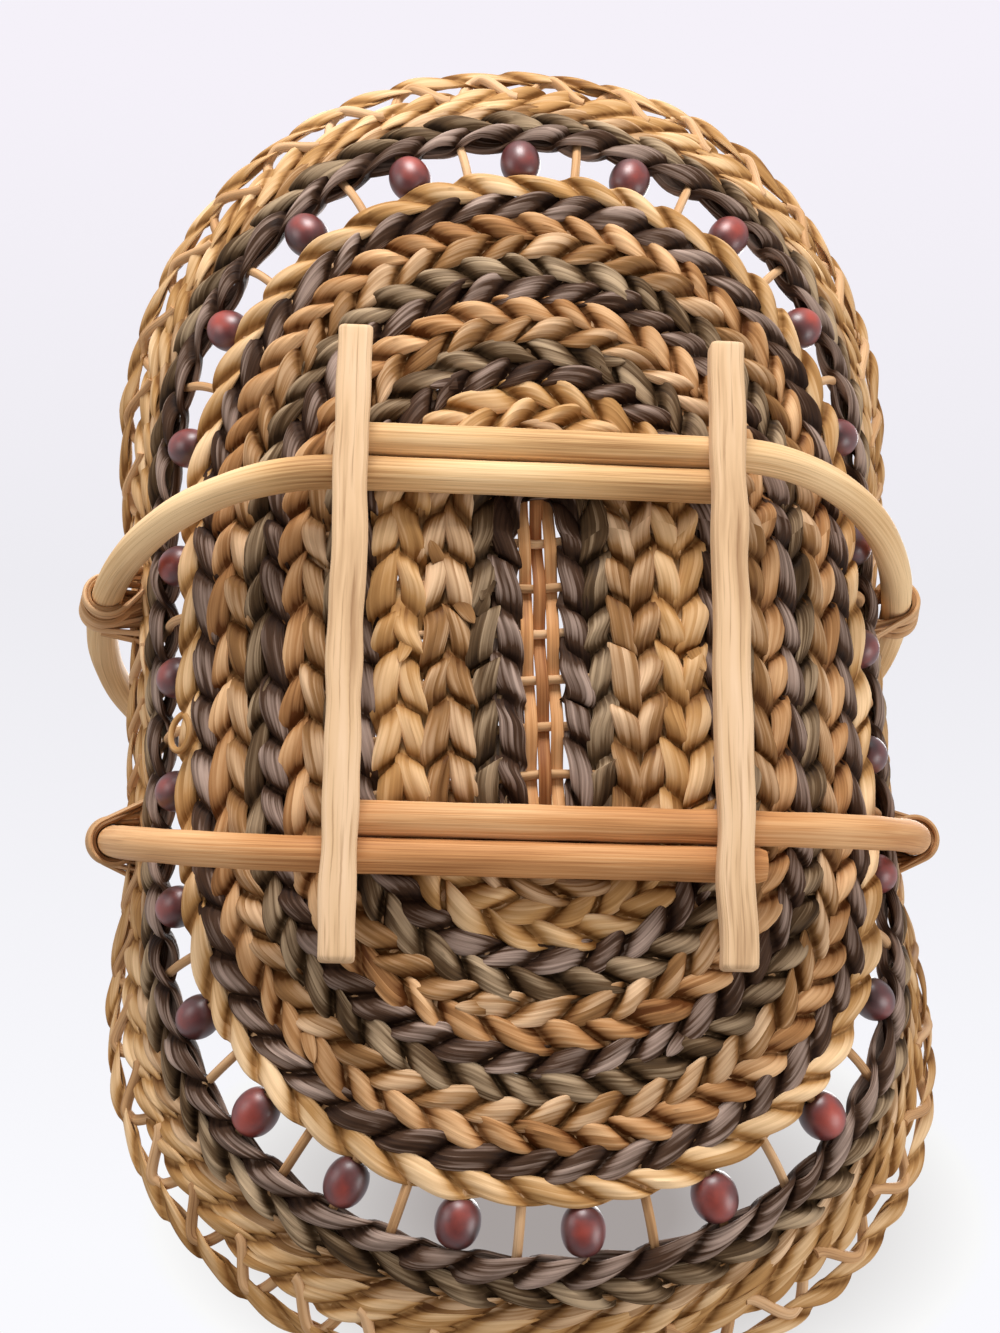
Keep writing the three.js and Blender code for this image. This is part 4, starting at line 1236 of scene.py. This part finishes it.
class TRUG_OT_hoops(Operator):
    """Bend the two cane hoops"""

    bl_idname = "trug.hoops"
    bl_label = "Hoops"

    # Faces around the cane, its thickness over the setting, and how far its cut ends are drawn in
    sides = 28
    girth = 0.985
    cut_girth = 0.86

    # Tone of the bar, what the arm adds, and the height over which it does
    bar_tone = 0.4
    arm_tone = 0.8
    arm_rise = 0.012

    # Waves and size of the knots and of the patches
    knots = (40, 0.02)
    patches = (12, 0.8)

    # Piece, node, end and cane
    hoops = (("cane_hoop_back", "hoop_back", -1, "cane"), ("cane_hoop_front", "hoop_front", 1, "ruddy"))

    def execute(self, context):
        sticks = context.scene.trug_sticks
        rng = np.random.default_rng(71)
        for name, node, end, tint in self.hoops:
            left = hoop_arm(sticks, end, -1, sticks.poking_overrun if end > 0 else sticks.bar_overrun)
            right = hoop_arm(sticks, end, 1, sticks.bar_overrun)
            path = np.vstack([left, right[::-1][1:]])
            share = path_lengths(path) / path_lengths(path)[-1]
            radii = sticks.cane_diameter / 2 * (self.girth + wobble(rng, share, *self.knots))
            radii[[0, -1]] *= self.cut_girth
            arm = ease((path[:, 2] - path[:, 2].min()) / self.arm_rise)
            tone = (self.bar_tone + self.arm_tone * arm + wobble(rng, share, *self.patches))[:, None]
            part = stick(path, radii, np.array([0.0, 1.0, 0.0]), self.sides, tone, 0, rng.uniform(0, 5))
            add_piece(name, [part], [wood(tint)], [node])
        return {"FINISHED"}


class TRUG_OT_runners(Operator):
    """Shape the two runners with rounded edges and a little hand-cut unevenness"""

    bl_idname = "trug.runners"
    bl_label = "Runners"

    # Points along the middle and in each corner, and the stretch at each end that the middle leaves free
    steps = 56
    corner_steps = 6
    end_stretch = 0.004

    # Rounded ends: how far along each loop lies and how far it is drawn in, in roundings
    end_places = np.array([0.0, 0.25, 0.6, 1.0])
    end_insets = np.array([0.9, 0.35, 0.08, 0.0])
    end_depth = 0.6

    # Waves and size of the bow and of the uneven width
    bow = (6, 0.0003)
    uneven = (9, 0.00025)

    def execute(self, context):
        sticks = context.scene.trug_sticks
        rng = np.random.default_rng(83)
        rounding = sticks.runner_corner
        shrink = np.concatenate([self.end_insets, np.zeros(self.steps), self.end_insets[::-1]])
        shrink = (shrink * rounding * self.end_depth)[:, None]
        corner_x = np.array([1, -1, -1, 1]).repeat(self.corner_steps)
        corner_z = np.array([1, 1, -1, -1]).repeat(self.corner_steps)
        quarter = np.linspace(0, np.pi / 2, self.corner_steps)
        sweep = np.concatenate([quarter + turn * np.pi / 2 for turn in range(4)])
        for name, low, high in (("left", *LEFT_RUNNER), ("right", *RIGHT_RUNNER)):
            length_steps = np.concatenate([
                low.y + self.end_places * rounding,
                np.linspace(low.y + self.end_stretch, high.y - self.end_stretch, self.steps),
                high.y - self.end_places[::-1] * rounding])
            half_x = (high.x - low.x) / 2
            half_z = (high.z - low.z) / 2
            share = (length_steps - low.y) / (high.y - low.y)
            waver = wobble(rng, share, *self.bow)[:, None]
            reach_x = half_x - rounding - shrink + wobble(rng, share, *self.uneven)[:, None]
            reach_z = half_z - rounding - shrink
            across = (low.x + high.x) / 2 + waver + corner_x * reach_x + rounding * np.cos(sweep)
            height = (low.z + high.z) / 2 + corner_z * reach_z + rounding * np.sin(sweep)
            forward = np.broadcast_to(length_steps[:, None], across.shape)
            loops = np.stack([across, forward, height], axis=-1)
            along = length_steps / UV_UNIT + rng.uniform(0, 20)
            girth = 4 * (half_x + half_z)
            around = np.linspace(0, girth, across.shape[1] + 1) / UV_UNIT
            part = tube(loops, False, along, around, 0.5, 0.0)
            add_piece(f"squared_runner_{name}", [part], [wood("runner")], [f"runner_{name}"])
        return {"FINISHED"}


class TRUG_OT_lashings(Operator):
    """Wind a strip around each hoop arm and the rim beside it"""

    bl_idname = "trug.lashings"
    bl_label = "Lashings"

    # Points over a turn of the strip, around its two bends and along the rim, and faces around it
    steps = 60
    back_steps = 40
    front_steps = 20
    rim_steps = 2000
    sides = 10

    # The strip's bend at the rim and the spread of its reach there
    rim_hold = 0.003
    reach_spread = 0.001

    # Its rise for each turn in widths, the waves and size of its waver, and its girth in UV units
    turn_rise = 0.9
    waver = (14, 0.0012)
    girth = 0.6

    # Layers: width and reach over the settings', turns, least and most tone, height in strip thicknesses
    layers = ((1.2, 0.8, 5, -0.9, 0.1, 0.5), (1.0, 1.0, 6, 0.1, 1.4, 1.2))

    def belt(self, big, small, away):
        """Outline of a belt around two circles that lie apart, evenly spaced along its length."""
        split = np.arccos((big - small) / away)
        back = np.linspace(split, 2 * np.pi - split, self.back_steps)
        front = np.linspace(-split, split, self.front_steps)
        outline = np.vstack([
            np.stack([big * np.cos(back), big * np.sin(back)], axis=1),
            np.stack([away + small * np.cos(front), small * np.sin(front)], axis=1)])
        outline = np.vstack([outline, outline[:1]])
        lengths = path_lengths(outline)
        goal = np.linspace(0, lengths[-1], self.steps, endpoint=False)
        return np.stack([np.interp(goal, lengths, outline[:, axis]) for axis in range(2)], axis=1)

    def fan(self, big, away, reaches):
        """Turns of a strip around the cane and, one after the other, around points further along the rim."""
        turns = []
        for reach in reaches:
            outline = self.belt(big, self.rim_hold, np.hypot(away, reach))
            swivel = np.arctan2(reach, away)
            cosine = np.cos(swivel)
            sine = np.sin(swivel)
            turns.append(outline @ np.array([[cosine, sine], [-sine, cosine]]))
        return np.vstack(turns)

    def seat(self, arm, rim):
        """The arm's point nearest to the rim, its direction there, and the way and distance to the rim."""
        gaps = np.linalg.norm(arm[:, None] - rim[None], axis=2)
        nearest, rim_index = np.unravel_index(np.argmin(gaps), gaps.shape)
        middle = arm[nearest]
        axis = arm[nearest + 1] - arm[nearest - 1]
        axis /= np.linalg.norm(axis)
        toward = rim[rim_index] - middle
        toward -= axis * np.dot(toward, axis)
        away = np.linalg.norm(toward)
        return middle, axis, toward / away, away

    def strip(self, rng, sticks, seat, layer):
        """A flat strip: an oval carried along the fan's turns, which climb the arm one beside the other."""
        middle, axis, toward, away = seat
        wide, far, turns, dull, pale, level = layer
        reach = sticks.lash_reach * far
        reaches = np.linspace(-reach, reach, turns) + rng.normal(0, self.reach_spread, turns)
        spot = self.fan(sticks.cane_diameter / 2 + sticks.lash_thick * level, away, reaches)
        count = np.arange(len(spot))
        shift = (count / self.steps - turns / 2) * sticks.lash_width * self.turn_rise
        shift = shift + wobble(rng, count / len(count), *self.waver)
        across = np.cross(axis, toward)
        path = middle + spot[:, :1] * toward + spot[:, 1:] * across + shift[:, None] * axis
        outward = np.cross(np.gradient(path, axis=0), axis)
        outward /= np.linalg.norm(outward, axis=1, keepdims=True)
        turn = np.linspace(0, 2 * np.pi, self.sides, endpoint=False)[None, :, None]
        loops = path[:, None] + np.cos(turn) * axis * (sticks.lash_width * wide) / 2
        loops = loops + np.sin(turn) * outward[:, None] * sticks.lash_thick / 2
        along = path_lengths(path) / UV_UNIT + rng.uniform(0, 10)
        around = np.linspace(0, self.girth, self.sides + 1)
        tone = per_leaf(rng, count / self.steps, turns, dull, pale)[:, None]
        return tube(loops, False, along, around, tone, 0.0)

    def execute(self, context):
        tray = TraySurface(context.scene.trug_tray)
        sticks = context.scene.trug_sticks
        shape = tray.shape
        rng = np.random.default_rng(97)
        lash_line = tray.twine_start + shape.twine_width + shape.border_height / 2
        rim = tray.point(np.linspace(0, shape.spoke_count, self.rim_steps, endpoint=False), lash_line, 0.0)
        for end, end_name in ((-1, "back"), (1, "front")):
            for side, side_name in ((-1, "left"), (1, "right")):
                seat = self.seat(hoop_arm(sticks, end, side, sticks.bar_overrun)[ARM_STEPS:], rim)
                parts = [self.strip(rng, sticks, seat, layer) for layer in self.layers]
                place = f"{end_name}_{side_name}"
                add_piece(f"wound_lashing_{place}", parts, [wood("rattan")], [f"lashing_{place}"])
        return {"FINISHED"}


class TRUG_OT_nails(Operator):
    """Give the nails their steel"""

    bl_idname = "trug.nails"
    bl_label = "Nails"

    def execute(self, context):
        material = steel_material(context.scene.trug_sticks)
        for end in ("back", "front"):
            for side in ("left", "right"):
                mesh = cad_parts[f"nail_{end}_{side}"].data
                mesh.materials.clear()
                mesh.materials.append(material)
        return {"FINISHED"}


class TRUG_OT_stage(Operator):
    """Set the camera, the soft lights, the pale background and the floor"""

    bl_idname = "trug.stage"
    bl_label = "Stage"

    # Lamps: name, place, size and power in watts, and the point that they face
    lamps = (
        ("window", (-0.12, -1.05, -0.62), 0.5, 18.0),
        ("fill", (0.4, 0.2, -1.3), 1.2, 1.7),
        ("left_wall", (-1.3, -0.2, -0.45), 0.7, 4.4),
        ("right_wall", (1.15, 0.6, -0.42), 0.7, 7.5),
        ("overhead", (0.5, -0.7, 1.6), 1.0, 24.0),
    )
    lamp_aim = (0.0, 0.0, 0.05)

    # Reflected room: dark behind the photograph's camera, pale elsewhere
    room_dark = (0.04, 0.035, 0.035)
    room_pale = (0.6, 0.59, 0.62)

    # Half size of the floor and how far it lies under the runners
    floor_half = 4.0
    floor_drop = 0.0004

    # Height of the camera's sensor in millimetres
    sensor_height = 36

    def add_camera(self, context, stage):
        """The photograph's camera: it looks up at the tray from below."""
        place = np.array(stage.camera_place)
        forward = np.array(stage.camera_aim) - place
        forward /= np.linalg.norm(forward)
        level = np.cross([0.0, 1.0, 0.0], forward)
        level /= np.linalg.norm(level)
        down = np.cross(forward, level)
        cosine = np.cos(stage.camera_roll)
        sine = np.sin(stage.camera_roll)
        right = cosine * level + sine * down
        below = cosine * down - sine * level
        data = bpy.data.cameras.new("photo_camera")
        data.sensor_fit = "VERTICAL"
        data.sensor_height = self.sensor_height
        data.lens = stage.camera_lens
        camera = bpy.data.objects.new("photo_camera", data)
        basis = np.stack([right, -below, -forward], axis=1)
        camera.matrix_world = Matrix.Translation(Vector(place)) @ Matrix(basis.tolist()).to_4x4()
        context.scene.collection.objects.link(camera)
        context.scene.camera = camera

    def add_lamp(self, context, name, place, size, power):
        """A soft square lamp that faces the trug."""
        data = bpy.data.lights.new(name, "AREA")
        data.size = size
        data.energy = power
        lamp = bpy.data.objects.new(name, data)
        lamp.location = place
        lamp.rotation_euler = (Vector(self.lamp_aim) - Vector(place)).to_track_quat("-Z", "Y").to_euler()
        context.scene.collection.objects.link(lamp)

    def add_world(self, context, stage):
        """Pale where it is seen, a plain soft light on everything else, and a room in what reflects.

        The pale runs through three colours along +Y and is shaded in an oval behind the tray's front end.
        """
        world = bpy.data.worlds.new("studio")
        context.scene.world = world
        world.use_nodes = True
        tree = world.node_tree
        direction = add_node(tree, "ShaderNodeTexCoord").outputs["Generated"]
        forward = add_node(tree, "ShaderNodeSeparateXYZ", Vector=direction).outputs["Y"]
        share = scaled(tree, forward, factor=1.2, offset=0.75)
        stops = [(0.13, stage.pale_upper), (0.39, stage.pale_middle), (0.75, stage.pale_lower)]
        plain = ramp(tree, share, stops)
        aim = (Vector(stage.shade_aim) - Vector(stage.camera_place)).normalized()
        away = vector_node(tree, "SUBTRACT", direction, aim).outputs[0]
        oval = vector_node(tree, "MULTIPLY", away, (1, 2, 1)).outputs[0]
        radius = vector_node(tree, "LENGTH", oval).outputs["Value"]
        shaded = ramp(tree, radius, [(0.05, stage.pale_shade), (0.2, (1, 1, 1))])
        pale = mix_colours(tree, "DARKEN", share=1.0, first=plain, second=shaded)
        seen = add_node(tree, "ShaderNodeBackground", Color=pale, Strength=1.0).outputs[0]
        soft = add_node(tree, "ShaderNodeBackground", Color=(1, 1, 1, 1), Strength=stage.ambient).outputs[0]
        back = (Vector(stage.camera_place) - Vector(stage.camera_aim)).normalized()
        turned = vector_node(tree, "DISTANCE", direction, back).outputs["Value"]
        room = ramp(tree, turned, [(0.6, self.room_dark), (1.1, self.room_pale)])
        mirrored = add_node(tree, "ShaderNodeBackground", Color=room, Strength=1.0).outputs[0]
        ray = add_node(tree, "ShaderNodeLightPath").outputs
        shown = reckon(tree, "MAXIMUM", ray["Is Camera Ray"], ray["Is Transmission Ray"])
        lit = add_node(tree, "ShaderNodeMixShader", n0=ray["Is Glossy Ray"], n1=soft, n2=mirrored).outputs[0]
        mixed = add_node(tree, "ShaderNodeMixShader", n0=shown, n1=lit, n2=seen).outputs[0]
        tree.links.new(mixed, tree.nodes["World Output"].inputs["Surface"])

    def add_floor(self, context, stage):
        """A pale floor that shows only from above, so the view from below looks through it."""
        half = self.floor_half
        below = -self.floor_drop
        mesh = bpy.data.meshes.new("floor")
        corners = [(-half, -half, below), (half, -half, below), (half, half, below), (-half, half, below)]
        mesh.from_pydata(corners, [], [(0, 1, 2, 3)])
        material, tree, shader = start_material("floor")
        shader.inputs["Base Color"].default_value = (*stage.floor_colour, 1)
        shader.inputs["Roughness"].default_value = 0.8
        clear = add_node(tree, "ShaderNodeBsdfTransparent").outputs[0]
        behind = add_node(tree, "ShaderNodeNewGeometry").outputs["Backfacing"]
        mixed = add_node(tree, "ShaderNodeMixShader", n0=behind, n1=shader.outputs[0], n2=clear).outputs[0]
        tree.links.new(mixed, tree.nodes["Material Output"].inputs["Surface"])
        mesh.materials.append(material)
        floor = bpy.data.objects.new("floor", mesh)
        floor.visible_shadow = False
        floor.visible_diffuse = False
        floor.visible_glossy = False
        context.scene.collection.objects.link(floor)

    def execute(self, context):
        stage = context.scene.trug_stage
        self.add_camera(context, stage)
        self.add_world(context, stage)
        self.add_floor(context, stage)
        for lamp in self.lamps:
            self.add_lamp(context, *lamp)
        context.scene.view_settings.view_transform = "Standard"
        return {"FINISHED"}


class TRUG_PT_panel(Panel):
    """Lists the operators in the order in which they build the trug, then the settings"""

    bl_idname = "TRUG_PT_panel"
    bl_label = "Garden Trug"
    bl_space_type = "VIEW_3D"
    bl_region_type = "UI"
    bl_category = "Trug"

    def draw(self, context):
        for operator in OPERATORS:
            self.layout.operator(operator.bl_idname)
        for name, group in SETTINGS.items():
            box = self.layout.box()
            for key in group.__annotations__:
                box.prop(getattr(context.scene, name), key)


SETTINGS = {
    "trug_tray": TrayShape, "trug_weave": WeaveLook, "trug_sticks": StickLook, "trug_stage": StageLook,
}
OPERATORS = (
    TRUG_OT_rows, TRUG_OT_band, TRUG_OT_border, TRUG_OT_spokes, TRUG_OT_spine, TRUG_OT_beads,
    TRUG_OT_hoops, TRUG_OT_runners, TRUG_OT_lashings, TRUG_OT_nails, TRUG_OT_stage,
)


def register():
    """Registers the classes and hangs the settings on the scene."""
    for one in (*SETTINGS.values(), *OPERATORS, TRUG_PT_panel):
        bpy.utils.register_class(one)
    for name, group in SETTINGS.items():
        setattr(bpy.types.Scene, name, PointerProperty(type=group))


def unregister():
    """Removes the settings and the classes."""
    for name in reversed(SETTINGS):
        delattr(bpy.types.Scene, name)
    for one in reversed((*SETTINGS.values(), *OPERATORS, TRUG_PT_panel)):
        bpy.utils.unregister_class(one)


def main():
    """Builds the trug piece by piece."""
    register()
    bpy.ops.trug.rows()
    bpy.ops.trug.band()
    bpy.ops.trug.border()
    bpy.ops.trug.spokes()
    bpy.ops.trug.spine()
    bpy.ops.trug.beads()
    bpy.ops.trug.hoops()
    bpy.ops.trug.runners()
    bpy.ops.trug.lashings()
    bpy.ops.trug.nails()
    bpy.ops.trug.stage()


if __name__ == "__main__":
    main()
